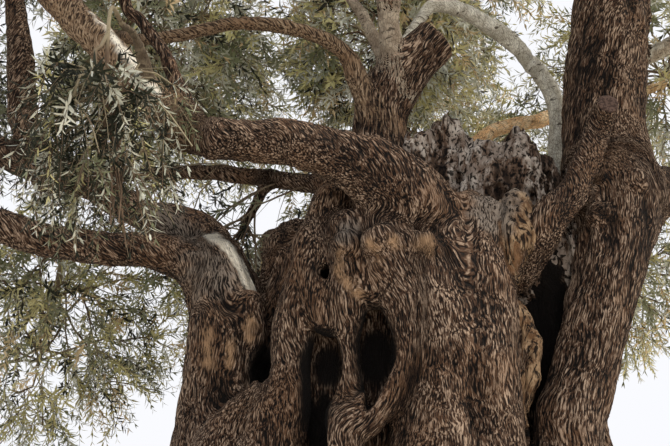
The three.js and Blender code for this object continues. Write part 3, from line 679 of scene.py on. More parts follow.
@dataclass(frozen=True)
class BareWood(Finish):
    """Torn heartwood: tan splinters along the grain, with dark splits between them and painted shade where it
    sinks.
    """

    slot: ClassVar[str] = "bare_wood"
    name: str = "bare_wood"
    light_colour: tuple = linear(168, 142, 112)
    deep_colour: tuple = linear(98, 72, 50)
    crack_colour: tuple = linear(24, 15, 10)
    grey_colour: tuple = linear(132, 122, 112)
    depth: float = 0.014

    def material(self) -> bpy.types.Material:
        """The finish as a material."""
        board = Board(self.name)
        grain = board.wavy(board.grain(), 0.12, 0.04)
        fibre = board.noise(board.scaled(grain, (1.0, 1.0, 0.08)), 130.0, 3.0)
        split = board.noise(board.scaled(grain, (1.0, 1.0, 0.11)), 52.0, 2.0)
        cloud = board.noise(board.grain(), 12.0, 2.0)
        relief = board.share("relief")
        colour = board.mixed(cloud.step(0.4, 0.62), self.deep_colour, self.light_colour)
        colour = board.mixed(fibre.step(0.45, 0.7) * 0.6, colour, self.light_colour)
        colour = board.mixed((1 - fibre.step(0.36, 0.52)) * 0.75, colour, self.deep_colour)
        colour = board.mixed(board.share("grey") * 0.8, colour, self.grey_colour)
        # Dark splits along the grain, with painted shade where the surface sinks.
        cracks = (1 - split.step(0.38, 0.5)) * 0.9 + (0.0 - relief).step(0.0, 1.0) * 0.7
        colour = board.mixed(cracks.step(0.0, 1.0), colour, self.crack_colour)
        return board.finish(colour, 0.9, split.step(0.3, 0.55) * 0.6 + fibre * 0.4, self.depth)


@dataclass(frozen=True)
class SawnFace(Finish):
    """An old saw cut: grey-brown and worn."""

    name: str = "sawn_face"
    face_colour: tuple = linear(92, 74, 66)
    ring_colour: tuple = linear(58, 44, 38)
    depth: float = 0.002

    def material(self) -> bpy.types.Material:
        """The finish as a material."""
        board = Board(self.name)
        wobble = board.noise(board.place(), 9.0, 2.0)
        rings = board.noise(board.scaled(board.place(), (1.0, 0.15, 1.0)), 60.0, 2.0)
        fine = board.noise(board.place(), 240.0, 2.0)
        colour = board.mixed(rings.step(0.42, 0.6), self.face_colour, self.ring_colour)
        colour = board.mixed(wobble.step(0.5, 0.7) * 0.5, colour, self.ring_colour)
        return board.finish(colour, 0.9, fine * 0.5 + rings * 0.5, self.depth)


@dataclass(frozen=True)
class TwigBark(Finish):
    """The thin bark of twigs and shoots: grey-brown, a little greener where thin."""

    name: str = "twig_bark"
    brown_colour: tuple = linear(104, 86, 70)
    pale_colour: tuple = linear(150, 140, 116)
    depth: float = 0.001

    def material(self) -> bpy.types.Material:
        """The finish as a material."""
        board = Board(self.name)
        cloud = board.noise(board.place(), 4.0, 2.0)
        grit = board.noise(board.place(), 130.0, 2.0)
        colour = board.mixed(cloud.step(0.4, 0.62), self.brown_colour, self.pale_colour)
        colour = board.mixed(grit.step(0.5, 0.8) * 0.5, colour, self.brown_colour)
        return board.finish(colour, 0.85, grit, self.depth)


@dataclass(frozen=True)
class Leaf(Finish):
    """One tint of leaf, plain but for a faint mottle."""

    slot: ClassVar[str] = "leaves"
    name: str = "leaf"
    colour: tuple = linear(100, 110, 70)
    mottle: tuple = linear(80, 92, 56)
    roughness: float = 0.5

    def material(self) -> bpy.types.Material:
        """The finish as a material."""
        board = Board(self.name)
        cloud = board.noise(board.place(), 2.5, 2.0)
        colour = board.mixed(cloud.step(0.4, 0.62), self.colour, self.mottle)
        return board.finish(colour, self.roughness, cloud, 0.0005)


class Tint(Enum):
    """The tints of the leaves, each a spray's own: the dark one partly painted shade, the lighter ones brightened
    partly as painted sunlight.
    """

    DARK = Leaf("leaf_dark_painted_shade", linear(46, 50, 38), linear(27, 30, 22))
    GREEN = Leaf("leaf_green", linear(140, 144, 117), linear(116, 122, 92))
    SILVER = Leaf("leaf_silver", linear(214, 216, 203), linear(186, 190, 176))
    YELLOW = Leaf("leaf_yellow", linear(214, 208, 158), linear(186, 182, 128))
    STRAW = Leaf("leaf_straw", linear(222, 202, 162), linear(184, 162, 122))


class Light(Enum):
    """How the leaves of a mass are tinted, as painted light and shade: shares of each tint, in the order of Tint.
    """

    BACKLIT = (0.66, 0.12, 0.18, 0.03, 0.01)
    SHADED = (0.42, 0.34, 0.16, 0.05, 0.03)
    OPEN = (0.2, 0.34, 0.28, 0.13, 0.05)
    SUNLIT = (0.06, 0.2, 0.32, 0.32, 0.1)
    OLIVE = (0.14, 0.28, 0.12, 0.36, 0.1)


def linked(name: str, data: bpy.types.ID) -> bpy.types.Object:
    """A new object in the scene."""
    made = bpy.data.objects.new(name, data)
    bpy.context.scene.collection.objects.link(made)
    return made


def mesh_object(name: str, vertices: Array, faces: Array, material: bpy.types.Material) -> bpy.types.Object:
    """A smooth mesh from places in metres and faces that all have as many corners."""
    mesh = bpy.data.meshes.new(name)
    corners = faces.shape[1]
    mesh.vertices.add(len(vertices))
    mesh.vertices.foreach_set("co", vertices.astype(np.float32).ravel())
    mesh.loops.add(faces.size)
    mesh.loops.foreach_set("vertex_index", faces.astype(np.int32).ravel())
    mesh.polygons.add(len(faces))
    mesh.polygons.foreach_set("loop_start", np.arange(0, faces.size, corners, dtype=np.int32))
    mesh.update(calc_edges=True)
    mesh.polygons.foreach_set("use_smooth", np.ones(len(faces), bool))
    mesh.materials.append(material)
    return linked(name, mesh)


def store(mesh: bpy.types.Mesh, name: str, values: Array) -> None:
    """Keeps one number, whole number or vector for each vertex."""
    whole = np.issubdtype(values.dtype, np.integer)
    kind, key = ("FLOAT_VECTOR", "vector") if values.ndim == 2 else ("INT" if whole else "FLOAT", "value")
    attribute = mesh.attributes.new(name, kind, "POINT")
    attribute.data.foreach_set(key, values.astype(np.int32 if whole else np.float32).ravel())


def seed_object(
    name: str, places: Array, edges: Array, values: dict[str, Array], material: bpy.types.Material
) -> bpy.types.Object:
    """A mesh of points and edges that a node tree grows from, with what every point keeps, by name."""
    mesh = bpy.data.meshes.new(name)
    mesh.vertices.add(len(places))
    mesh.vertices.foreach_set("co", places.astype(np.float32).ravel())
    if len(edges):
        mesh.edges.add(len(edges))
        mesh.edges.foreach_set("vertices", edges.astype(np.int32).ravel())
    for key, value in values.items():
        store(mesh, key, value)
    mesh.materials.append(material)
    return linked(name, mesh)


def vertex_normals(vertices: Array, quads: Array) -> Array:
    """Outward normals of a mesh of quads, one for each vertex."""
    a, b, c, d = (vertices[quads[:, i]] for i in range(4))
    across = np.cross(c - a, d - b)
    total = np.stack(
        [sum(np.bincount(quads[:, i], across[:, axis], len(vertices)) for i in range(4)) for axis in range(3)], 1
    )
    return unit(total)


def largest_island(vertices: Array, quads: Array) -> tuple[Array, Array]:
    """The places and faces of only the largest connected part of a mesh."""
    label = np.arange(len(vertices))
    while True:
        low = label[quads].min(1)
        lower = label.copy()
        for corner in range(4):
            np.minimum.at(lower, quads[:, corner], low)
        lower = lower[lower]
        if (lower == label).all():
            break
        label = lower
    names, counts = np.unique(label, return_counts=True)
    kept = label == names[counts.argmax()]
    renumbered = np.cumsum(kept) - 1
    return vertices[kept], renumbered[quads[kept[quads[:, 0]]]]


@dataclass(frozen=True)
class Wood:
    """A piece of wood to be made: the skin round some of the bones.

    Attributes:
        name: The piece.
        bones: Its own bones.
        stands_for: The CAD nodes that it replaces.
        finish: Its bark or wood.
        cell: The mesh's size, in millimetres.
        relief: The relief raised on it.
        slab: Axes with the least and most along each, in millimetres, where the piece is one part of several.
    """

    name: str
    bones: tuple[str, ...]
    stands_for: tuple[str, ...]
    finish: Finish
    cell: float = 10.0
    relief: Relief = Relief()
    slab: tuple[tuple[int, float, float], ...] = ()

    @property
    def slot(self) -> str:
        """The slot name of its finish."""
        return self.finish.slot


class Carver:
    """Makes meshes from the field of all the wood."""

    BLOCK = 8
    OVERLAP = 1.6
    GRAIN_BLEND = 0.018

    def __init__(self, trunk: "Trunk", bones: list[Bone], patches: Iterable[Patch]) -> None:
        """Takes the trunk's forms and all the bones, the trunk's own first."""
        self.trunk = trunk
        self.skeleton = Skeleton(bones)
        self.trunk_bones = {self.skeleton.index[bone.name] for bone in trunk.bones()}
        self.patches = list(patches)
        self.materials: dict[str, bpy.types.Material] = {}

    def material(self, finish: Finish) -> bpy.types.Material:
        """A finish's material, made once."""
        if finish.name not in self.materials:
            self.materials[finish.name] = finish.material()
        return self.materials[finish.name]

    def field(
        self, places: Array, middle: Array, reach: float, own: set[int], core_is_own: bool
    ) -> tuple[Array, Array]:
        """The wood's depth at places.

        Args:
            places: Points within reach of middle.
            middle: The middle of the points.
            reach: How far they lie from it.
            own: The piece's bones.
            core_is_own: Whether the core and the burls are the piece's too.

        Returns:
            The distance from all the wood, and how much nearer other bones are than the piece's own.
        """
        far = np.full(len(places), 1.0)
        bones, picks, begins = self.skeleton.near(middle, reach)
        columns = self.skeleton.distances(places, picks, begins) if bones else np.empty((len(places), 0))
        core = self.trunk.core.distance(places)
        depth, mine, others = core.copy(), far.copy(), far.copy()
        target = mine if core_is_own else others
        np.minimum(target, core, out=target)
        limbs = []
        for bone, away in zip(bones, columns.T):
            target = mine if bone in own else others
            blend = self.skeleton.blends[bone]
            if self.skeleton.bones[bone].sawn:
                end = np.array(self.skeleton.bones[bone].stations[-1][:3]) * MM
                last = self.skeleton.last[bone] - 1
                away = np.maximum(away, (places - end) @ unit(self.skeleton.along[last]))
            np.minimum(target, away, out=target)
            if bone in self.trunk_bones:
                depth = soft_min(depth, away, blend)
            else:
                limbs.append((away, blend))
        for hollow in self.trunk.hollows:
            if np.linalg.norm(np.array(hollow.middle) * MM - middle) < max(hollow.half) * MM + reach + 0.05:
                depth = -soft_min(-depth, hollow.distance(places), self.trunk.hollow_edge * MM)
        for *centre, radius in np.array(self.trunk.burls) * MM:
            if np.linalg.norm(centre - middle) < radius + reach + 0.05:
                away = np.linalg.norm(places - centre, axis=1) - radius
                depth = soft_min(depth, away, self.trunk.burl_blend * MM)
        for away, blend in limbs:
            depth = soft_min(depth, away, blend)
        return depth, 0.5 * (mine - others)

    def _box(self, wood: Wood, own: set[int]) -> tuple[Array, Array]:
        """The space that a piece can fill."""
        skeleton = self.skeleton
        lows, highs = [], []
        for bone in own:
            rows = slice(skeleton.first[bone], skeleton.last[bone])
            radius = np.maximum(skeleton.radius[rows], skeleton.radius[rows] + skeleton.taper[rows])[:, None]
            for place in (skeleton.start[rows], skeleton.start[rows] + skeleton.along[rows]):
                lows.append((place - radius).min(0))
                highs.append((place + radius).max(0))
        low, high = np.min(lows, 0) - 0.06, np.max(highs, 0) + 0.06
        low[2] = max(low[2], 0.0)
        for axis, least, most in wood.slab:
            low[axis], high[axis] = max(low[axis], least * MM), min(high[axis], most * MM)
        return low, high

    def skin(self, wood: Wood) -> tuple[Array, Array]:
        """The places, in metres, and faces of a piece's closed surface."""
        own = {self.skeleton.index[name] for name in wood.bones}
        core_is_own = bool(own & self.trunk_bones)
        cell, block = wood.cell * MM, self.BLOCK
        low, high = self._box(wood, own)
        size = cell * block
        base = np.floor(low / size - 0.5) * size
        counts = np.ceil((high - base) / size + 0.5).astype(int)
        band = 3 * cell
        nodes = np.full(counts * block, band, np.float32)
        inner = np.stack(np.meshgrid(*[np.arange(block)] * 3, indexing="ij"), -1).reshape(-1, 3)
        reach = size * 0.5 * math.sqrt(3) + 1.8 * cell + 1.6 * wood.relief.crags * MM

        def depth(places: Array, middle: Array, span: float) -> Array:
            """The piece's own field."""
            whole, nearer = self.field(places, middle, span, own, core_is_own)
            if wood.relief.crags:
                whole = whole + wood.relief.eaten(places)
            whole = np.maximum(whole, nearer - self.OVERLAP * cell)
            whole = np.maximum(whole, -places[:, 2])
            for axis, least, most in wood.slab:
                whole = np.maximum(whole, np.maximum(least * MM - places[:, axis], places[:, axis] - most * MM))
            return whole

        for group in np.ndindex(*(-(-counts // block))):
            first = np.array(group) * block
            picks = first + inner
            picks = picks[(picks < counts).all(1)]
            centres = base + (picks + 0.5) * size - 0.5 * cell
            middle = (centres.min(0) + centres.max(0)) / 2
            span = float(np.linalg.norm(centres - middle, axis=1).max())
            values = depth(centres, middle, span + reach)
            for pick, value, centre in zip(picks, values, centres):
                start = pick * block
                part = nodes[tuple(slice(s, s + block) for s in start)]
                if abs(value) > 1.2 * reach:
                    part[...] = math.copysign(band, value)
                    continue
                places = base + (start + inner) * cell
                part[...] = np.clip(depth(places, centre, reach), -band, band).reshape((block,) * 3)
        grid = openvdb.FloatGrid(band)
        grid.copyFromArray(nodes)
        vertices, quads = grid.convertToQuads(isovalue=0.0)
        return largest_island(base + vertices.astype(float) * cell, quads.astype(np.int64))

    def _lie(self, places: Array) -> tuple[Array, Array]:
        """Where places lie along the straightened grain, and the limb's radius there."""
        grain, girth = np.empty_like(places), np.empty(len(places))
        chunk = 1500
        for begin in range(0, len(places), chunk):
            part = places[begin : begin + chunk]
            middle = (part.min(0) + part.max(0)) / 2
            reach = float(np.linalg.norm(part - middle, axis=1).max())
            bones, picks, begins = self.skeleton.near(middle, reach)
            ends = [*begins[1:], len(picks)]
            core = np.maximum(self.trunk.core.distance(part), -0.02)
            straight, away, radii = [part], [core], [np.full(len(part), 0.3)]
            for start, end in zip(begins, ends):
                found = self.skeleton.unbent(part, picks[start:end])
                for store_in, values in zip((straight, away, radii), found):
                    store_in.append(values)
            away_all = np.stack(away, 1)
            weight = np.exp(-(away_all - away_all.min(1, keepdims=True)) / self.GRAIN_BLEND)
            weight /= weight.sum(1, keepdims=True)
            grain[begin : begin + chunk] = (np.stack(straight, 1) * weight[:, :, None]).sum(1)
            girth[begin : begin + chunk] = (np.stack(radii, 1) * weight).sum(1)
        return grain, girth

    def _marks(self, places: Array) -> dict[Mark, Array]:
        """How strongly each mark shows at places."""
        marks = {mark: np.zeros(len(places)) for mark in Mark}
        for patch in self.patches:
            marks[patch.mark] = np.maximum(marks[patch.mark], patch.cover(places))
        for hollow in self.trunk.hollows:
            # Painted shade deep in each hollow.
            marks[Mark.DARK] = np.maximum(marks[Mark.DARK], hollow.painted_shade(places))
        return marks

    def _cuts(self, wood: Wood, places: Array) -> Array:
        """How near places are to the flat of a saw cut, from 0 to 1."""
        near = np.zeros(len(places))
        for name in wood.bones:
            bone = self.skeleton.bones[self.skeleton.index[name]]
            if bone.sawn:
                end = np.array(bone.stations[-1]) * MM
                heading = unit(self.skeleton.along[self.skeleton.last[self.skeleton.index[name]] - 1])
                out = np.abs((places - end[:3]) @ heading)
                round_it = np.linalg.norm(places - end[:3], axis=1)
                near = np.maximum(near, (1 - ramp(out, 0.004, 0.012)) * (round_it < end[3] * 1.1))
        return near

    def make(self, wood: Wood) -> bpy.types.Object:
        """Makes and dresses one piece, which rides on the tree's body."""
        vertices, quads = self.skin(wood)
        grain, girth = self._lie(vertices)
        marks = self._marks(vertices)
        cut = self._cuts(wood, vertices)
        height = wood.relief.height(grain, girth)
        height *= (1 - cut) * (1 - 0.6 * marks[Mark.TAN])
        height = np.where(vertices[:, 2] < 0.004, 0, height)
        vertices = vertices + height[:, None] * vertex_normals(vertices, quads)
        vertices[:, 2] = np.maximum(vertices[:, 2], 0)
        piece = mesh_object(wood.name, vertices, quads, self.material(wood.finish))
        store(piece.data, "grain", grain)
        # The relief, which the bark and wood shaders also use to paint shade in sunken places and light on raised
        # ones.
        store(piece.data, "relief", height / (0.001 + wood.relief.ropes * MM))
        for mark, share in marks.items():
            store(piece.data, mark.value, share)
        if cut.any():
            piece.data.materials.append(self.material(SawnFace()))
            piece.data.polygons.foreach_set("material_index", (cut[quads].min(1) > 0.5).astype(np.int32))
        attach(piece, BODY)
        wood.slot
        if wood.stands_for:
            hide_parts(*wood.stands_for)
        log.info("%s: %d faces of four", wood.name, len(quads))
        return piece


@dataclass(frozen=True)
class Trunk:
    """The trunk: a core, rope-like ribs, a left stem, burls and hollows. Sizes in millimetres."""

    core: Core = Core()
    hollow_edge: float = 45.0
    burl_blend: float = 34.0
    rib_blend: float = 55.0
    back_count: int = 6
    back_bearings: tuple[float, float] = (32.0, 168.0)
    back_foot: Point = (1180, 980, 290)
    back_waist: Point = (720, 600, 215)
    back_top: Point = (520, 400, 170)
    back_heights: Point = (-80, 950, 2000)
    ribs: dict[str, tuple[Station, ...]] = field(default_factory=lambda: {
        "left_flank": (
            (-860, -620, -80, 250), (-600, -520, 920, 150), (-535, -510, 1131, 122), (-515, -500, 1350, 98),
            (-490, -480, 1570, 100), (-420, -430, 1800, 104), (-310, -380, 2140, 105),
        ),
        "left_sweep": ((-1180, -560, -80, 260), (-820, -430, 860, 165), (-600, -440, 1180, 110)),
        "between_hollows": (
            (-400, -640, -80, 190), (-285, -610, 900, 105), (-232, -620, 1100, 72), (-226, -620, 1236, 58),
            (-232, -610, 1400, 62), (-240, -580, 1620, 96), (-235, -480, 1950, 120),
        ),
        "round_the_hollow": (
            (-620, -740, -80, 230), (-300, -700, 880, 105), (-150, -710, 1049, 92), (-32, -700, 1183, 88),
            (30, -690, 1366, 96), (30, -670, 1600, 116), (-10, -620, 1830, 125), (-40, -520, 2010, 120),
        ),
        "belly_left": (
            (60, -820, -80, 300), (170, -600, 920, 235), (200, -570, 1300, 235), (190, -540, 1700, 225),
            (150, -450, 1980, 190),
        ),
        "belly_right": (
            (400, -720, -80, 270), (360, -560, 920, 220), (355, -550, 1400, 218), (350, -500, 1720, 215),
            (380, -400, 2010, 180),
        ),
        "cleft_edge": (
            (540, -560, -80, 190), (480, -520, 920, 120), (470, -520, 1230, 105), (480, -500, 1640, 108),
            (540, -380, 2000, 130),
        ),
        "cleft_floor": (
            (800, -150, -80, 260), (770, -130, 1000, 170), (800, -120, 1500, 160), (850, -110, 1900, 160),
        ),
        "right_shoulder": (
            (1120, 230, -80, 320), (940, 160, 1000, 230), (930, 110, 1700, 210), (1010, 60, 2080, 180),
        ),
        "left_stem": (
            (-1010, -120, -80, 370), (-865, -140, 900, 262), (-862, -150, 1200, 212), (-862, -140, 1500, 200),
            (-900, -110, 1720, 176), (-950, -80, 1880, 150),
        ),
        "saddle": ((-860, -20, 1560, 160), (-640, 0, 1580, 150), (-380, -60, 1760, 150)),
        "left_apron": (
            (-400, -440, 1900, 120), (-370, -520, 1720, 118), (-345, -560, 1570, 100), (-335, -570, 1500, 76),
        ),
        "right_apron": ((-130, -500, 1950, 120), (-120, -560, 1780, 112), (-112, -590, 1650, 92)),
        "outer_lobe": ((-945, -270, 1540, 80), (-935, -285, 1400, 80), (-922, -280, 1250, 62)),
        "middle_lobe": ((-822, -300, 1520, 56), (-818, -320, 1390, 60), (-810, -310, 1250, 44)),
        "inner_lobe": ((-735, -260, 1620, 80), (-722, -278, 1490, 82), (-724, -270, 1380, 58)),
    })
    burls: tuple[Station, ...] = (
        (-243, -600, 1858, 84), (-262, -620, 1735, 62), (-190, -620, 1630, 50),
        (-80, -690, 1862, 92), (-60, -690, 1745, 68), (48, -700, 1840, 68),
        (135, -720, 1844, 66), (225, -690, 1815, 54), (1010, -330, 2170, 74),
        (1075, -400, 2060, 82), (1255, -330, 2240, 96), (1330, -250, 2080, 92),
        (1195, -390, 1960, 84), (1090, -310, 2290, 66), (1180, -330, 2130, 70),
    )
    hollows: tuple[Hollow, ...] = (
        Hollow((-105, -740, 1350), (90, 260, 195), 4), Hollow((-125, -760, 1150), (36, 170, 90), 20),
        Hollow((-348, -700, 1305), (84, 240, 145), -4), Hollow((-375, -720, 1030), (42, 230, 210), -8),
        Hollow((-655, -440, 1305), (56, 300, 92)), Hollow((-345, -560, 1735), (34, 110, 40)),
    )
    split: float = -130.0
    front: float = 60.0

    def bones(self) -> list[Bone]:
        """The ribs and the left stem, front and back."""
        made = [Bone(name, stations, self.rib_blend) for name, stations in self.ribs.items()]
        for i in range(self.back_count):
            bearing = math.radians(np.interp(i, (0, self.back_count - 1), self.back_bearings))
            stations = tuple(
                (reach_x * math.cos(bearing), reach_y * math.sin(bearing), height, radius)
                for (reach_x, reach_y, radius), height in zip(
                    (self.back_foot, self.back_waist, self.back_top), self.back_heights
                )
            )
            made.append(Bone(f"back_rib_{i + 1}", stations, self.rib_blend))
        return made

    def pieces(self) -> list[Wood]:
        """The trunk in three: its front in two halves, and its back."""
        names = tuple(bone.name for bone in self.bones())
        edge = 20.0
        left = ((0, -4000, self.split + edge), (1, -4000, self.front + edge))
        right = ((0, self.split - edge, 4000), (1, -4000, self.front + edge))
        return [
            Wood("trunk_front_left", names, ("trunk",), OLD_BARK, 14.5, slab=left),
            Wood("trunk_front_right", names, ("trunk",), OLD_BARK, 15.0, slab=right),
            Wood("trunk_back", names, ("trunk",), OLD_BARK, 28, slab=((1, self.front - edge, 4000),)),
        ]


@dataclass(frozen=True)
class DeadCrest:
    """The dead snags that stand on the trunk's top, eaten by rot. Sizes in millimetres."""

    snags: tuple[tuple[Station, ...], ...] = (
        ((160, -70, 1850, 130), (165, -60, 2293, 100), (180, -50, 2462, 84), (190, -40, 2575, 62)),
        ((340, -80, 1850, 160), (345, -60, 2293, 120), (359, -40, 2500, 84), (352, -30, 2655, 80)),
        ((510, -120, 1850, 180), (524, -100, 2252, 145), (541, -80, 2413, 120), (556, -70, 2510, 80)),
        ((680, -150, 1850, 180), (685, -120, 2246, 150), (707, -90, 2428, 125), (722, -70, 2590, 70)),
        ((840, -160, 1850, 150), (846, -120, 2189, 115), (846, -110, 2315, 98), (840, -100, 2430, 66)),
    )
    relief: Relief = Relief(ropes=8, knots=8, furrows=8, grit=5, crags=40)

    def bones(self) -> list[Bone]:
        """One bone for each snag."""
        return [Bone(f"snag_{i + 1}", stations, 60) for i, stations in enumerate(self.snags)]

    def pieces(self) -> list[Wood]:
        """The crest as one piece."""
        names = tuple(bone.name for bone in self.bones())
        return [Wood("dead_crest_wood", names, ("dead_crest",), DeadWood(), 13.5, self.relief)]


@dataclass(frozen=True)
class TornWood:
    """Slabs of bare heartwood along the deep cleft. Sizes in millimetres."""

    upper: tuple[Station, ...] = (
        (640, -330, 2160, 62), (630, -440, 2080, 78), (597, -490, 1949, 82), (575, -520, 1812, 52),
        (561, -530, 1720, 24),
    )
    lower: tuple[Station, ...] = (
        (590, -420, 1600, 36), (605, -500, 1500, 58), (620, -515, 1368, 74), (608, -520, 1225, 68),
        (560, -530, 1060, 40),
    )
    relief: Relief = Relief(ropes=12, knots=5, furrows=12, grit=3, crags=8)

    def bones(self) -> list[Bone]:
        """The two slabs."""
        return [Bone("upper_slab", self.upper, 45), Bone("lower_slab", self.lower, 25)]

    def pieces(self) -> list[Wood]:
        """Both slabs, each its own piece."""
        return [
            Wood("torn_wood_upper", ("upper_slab",), ("upper_bare_wood",), BareWood(), 7.5, self.relief),
            Wood("torn_wood_lower", ("lower_slab",), ("lower_bare_wood",), BareWood(), 7.5, self.relief),
        ]


@dataclass(frozen=True)
class Limb(Bone):
    """A limb that is a piece of its own.

    Attributes:
        finish: Its bark.
        cell: Its mesh's size, in millimetres.
    """

    blend: float = 70.0
    finish: Finish = OLD_BARK
    cell: float = 18.0

    def piece(self) -> Wood:
        """The piece, which stands for the CAD node of the limb's name."""
        return Wood(f"{self.name}_wood", (self.name,), (self.name,), self.finish, self.cell)


# The long bough that leaves the belly for the left, its arm and risers, and the left stem's two boughs.
LEFT_BOUGHS = (
    Limb("west_bough", (
        (300, -250, 1720, 190), (157, -430, 1964, 210), (76, -520, 2094, 202), (-51, -580, 2216, 178),
        (-225, -610, 2301, 138), (-475, -610, 2385, 117), (-722, -640, 2395, 104), (-916, -680, 2391, 100),
        (-1061, -705, 2434, 92),
    ), blend=90, cell=13),
    Limb("west_arm", (
        (-1030, -700, 2425, 100), (-1214, -720, 2586, 88), (-1370, -730, 2758, 86), (-1534, -720, 2943, 84),
        (-1719, -690, 3138, 78), (-2150, -660, 3600, 58),
    ), finish=WORN_BARK, cell=13),
    Limb("west_riser", (
        (-990, -690, 2440, 60), (-1102, -680, 2710, 38), (-1173, -660, 2862, 34), (-1302, -650, 3046, 32),
        (-1394, -660, 3176, 31), (-1500, -900, 3850, 28),
    ), blend=45, cell=10),
    Limb("left_low_bough", (
        (-900, -90, 1700, 170), (-1020, -110, 1850, 142), (-1130, -140, 1905, 118), (-1300, -180, 1935, 96),
        (-1562, -240, 1945, 86), (-1800, -290, 1970, 86), (-2056, -350, 2045, 84), (-2500, -400, 2230, 70),
    ), blend=60, cell=14),
    Limb("left_high_bough", (
        (-890, -20, 1780, 160), (-1023, 20, 2040, 128), (-1172, 60, 2144, 106), (-1349, 90, 2199, 88),
        (-1533, 120, 2300, 84), (-1750, 150, 2430, 90), (-2031, 190, 2525, 96), (-2288, 250, 2640, 86),
        (-2750, 450, 2950, 62),
    ), blend=60, cell=15),
    Limb("left_upright", (
        (-1960, 190, 2480, 96), (-2130, 170, 2760, 84), (-2200, 180, 3200, 74), (-2330, 300, 3750, 56),
    ), cell=17),
    Limb("weeping_limb", (
        (-1211, -750, 2642, 42), (-1235, -1000, 2770, 18), (-1240, -1260, 2710, 12),
    ), blend=30, finish=YOUNG_BARK, cell=7),
)

# The sawn limb that stands behind the belly, and the thin limbs that have grown from it since.
CENTRE_STUMP = (
    Limb("centre_stump", (
        (-130, 0, 1950, 210), (-57, 0, 2479, 172), (-43, 0, 2660, 156), (-12, 0, 2843, 152), (89, 0, 3030, 148),
        (197, 0, 3163, 136), (290, 0, 3262, 128),
    ), blend=80, sawn=True, cell=14.5),
    Limb("grey_limb", (
        (50, -40, 2900, 76), (23, -80, 3150, 64), (7, -120, 3383, 62), (-5, -160, 3600, 58), (-40, -210, 4050, 52),
        (-120, -260, 4500, 42),
    ), blend=40, finish=GREY_BARK, cell=13),
    Limb("crossing_riser", (
        (-20, -50, 2660, 96), (-91, -80, 2792, 84), (-169, -110, 2950, 60), (-215, -138, 3065, 50),
    ), blend=50, finish=WORN_BARK, cell=12),
    Limb("crossing_limb", (
        (-200, -130, 3040, 46), (-270, -165, 3120, 46), (-430, -200, 3190, 42), (-638, -230, 3232, 40),
        (-876, -260, 3223, 37), (-1133, -270, 3157, 34), (-1400, -150, 3180, 33), (-1600, 100, 3330, 30),
    ), blend=25, finish=WORN_BARK, cell=11),
    Limb("slim_limb", (
        (10, -40, 3040, 44), (-103, 50, 3374, 36), (-197, 120, 3577, 33), (-320, 240, 3850, 31),
        (-520, 450, 4300, 28),
    ), blend=30, finish=GREY_BARK, cell=11),
    Limb("front_limb", ((20, -140, 3420, 56), (90, -600, 3950, 46), (170, -1200, 4480, 36)), blend=35),
)

# The second stem on the right, its upright, forks and side limbs, and the limbs next to it.
RIGHT_STEM = (
    Limb("right_stem", (
        (700, -560, -80, 250), (792, -480, 920, 165), (856, -450, 1137, 162), (953, -420, 1381, 160),
        (1048, -380, 1637, 166), (1134, -320, 1883, 186), (1200, -200, 2125, 225), (1235, -60, 2330, 238),
    ), blend=25, cell=16.5),
    Limb("right_upright", (
        (1260, -40, 2230, 258), (1233, 0, 2479, 240), (1245, 0, 2780, 230), (1282, 0, 3125, 222),
        (1345, 0, 3450, 215), (1400, 0, 3900, 180), (1430, 40, 4200, 140),
    ), blend=120, cell=17),
    Limb("pale_riser", (
        (950, 150, 1900, 70), (1031, 300, 2580, 56), (1056, 320, 2811, 53), (1039, 340, 3048, 51),
        (950, 338, 3225, 52),
    ), blend=30, finish=SILVER_BARK, cell=13),
    Limb("pale_arch", (
        (925, 335, 3240, 50), (860, 325, 3330, 50), (771, 300, 3413, 50), (589, 260, 3522, 47),
        (412, 220, 3590, 43), (284, 180, 3555, 38), (190, 150, 3420, 32),
    ), blend=30, finish=SILVER_BARK, cell=11),
    Limb("orange_limb", (
        (300, 180, 1950, 70), (390, 260, 2450, 50), (439, 300, 2612, 46), (604, 320, 2766, 46),
        (752, 360, 2851, 46), (960, 450, 2920, 46), (1104, 620, 3015, 46), (1500, 950, 3200, 44),
        (1950, 1300, 3480, 38),
    ), blend=25, finish=TAWNY_BARK, cell=13.5),
    Limb("sawn_limb", (
        (620, -330, 1780, 110), (762, -480, 2006, 98), (864, -475, 2126, 84), (947, -455, 2238, 73),
        (1026, -430, 2406, 67), (1073, -425, 2530, 65), (1095, -480, 2600, 62), (1100, -560, 2625, 56),
    ), blend=30, sawn=True, cell=11),
    Limb("side_limb", (
        (1330, 0, 3060, 70), (1505, 0, 3137, 50), (1650, -40, 3200, 46), (2000, -120, 3380, 42),
        (2500, -220, 3600, 36),
    ), blend=45, finish=SmoothBark(), cell=11),
    Limb("east_low_bough", (
        (1230, -60, 2200, 210), (1480, 60, 2330, 165), (1750, 180, 2400, 115), (2100, 350, 2490, 84),
        (2450, 470, 2540, 60),
    )),
    Limb("left_fork", ((1415, 30, 4090, 112), (1250, 150, 4500, 78), (1050, 350, 4900, 52))),
    Limb("right_fork", ((1445, 30, 4090, 112), (1700, 60, 4450, 78), (1980, 100, 4780, 52))),
    Limb("front_right_limb", ((1380, -20, 3600, 88), (1550, -500, 3950, 64), (1750, -1150, 4320, 42))),
)

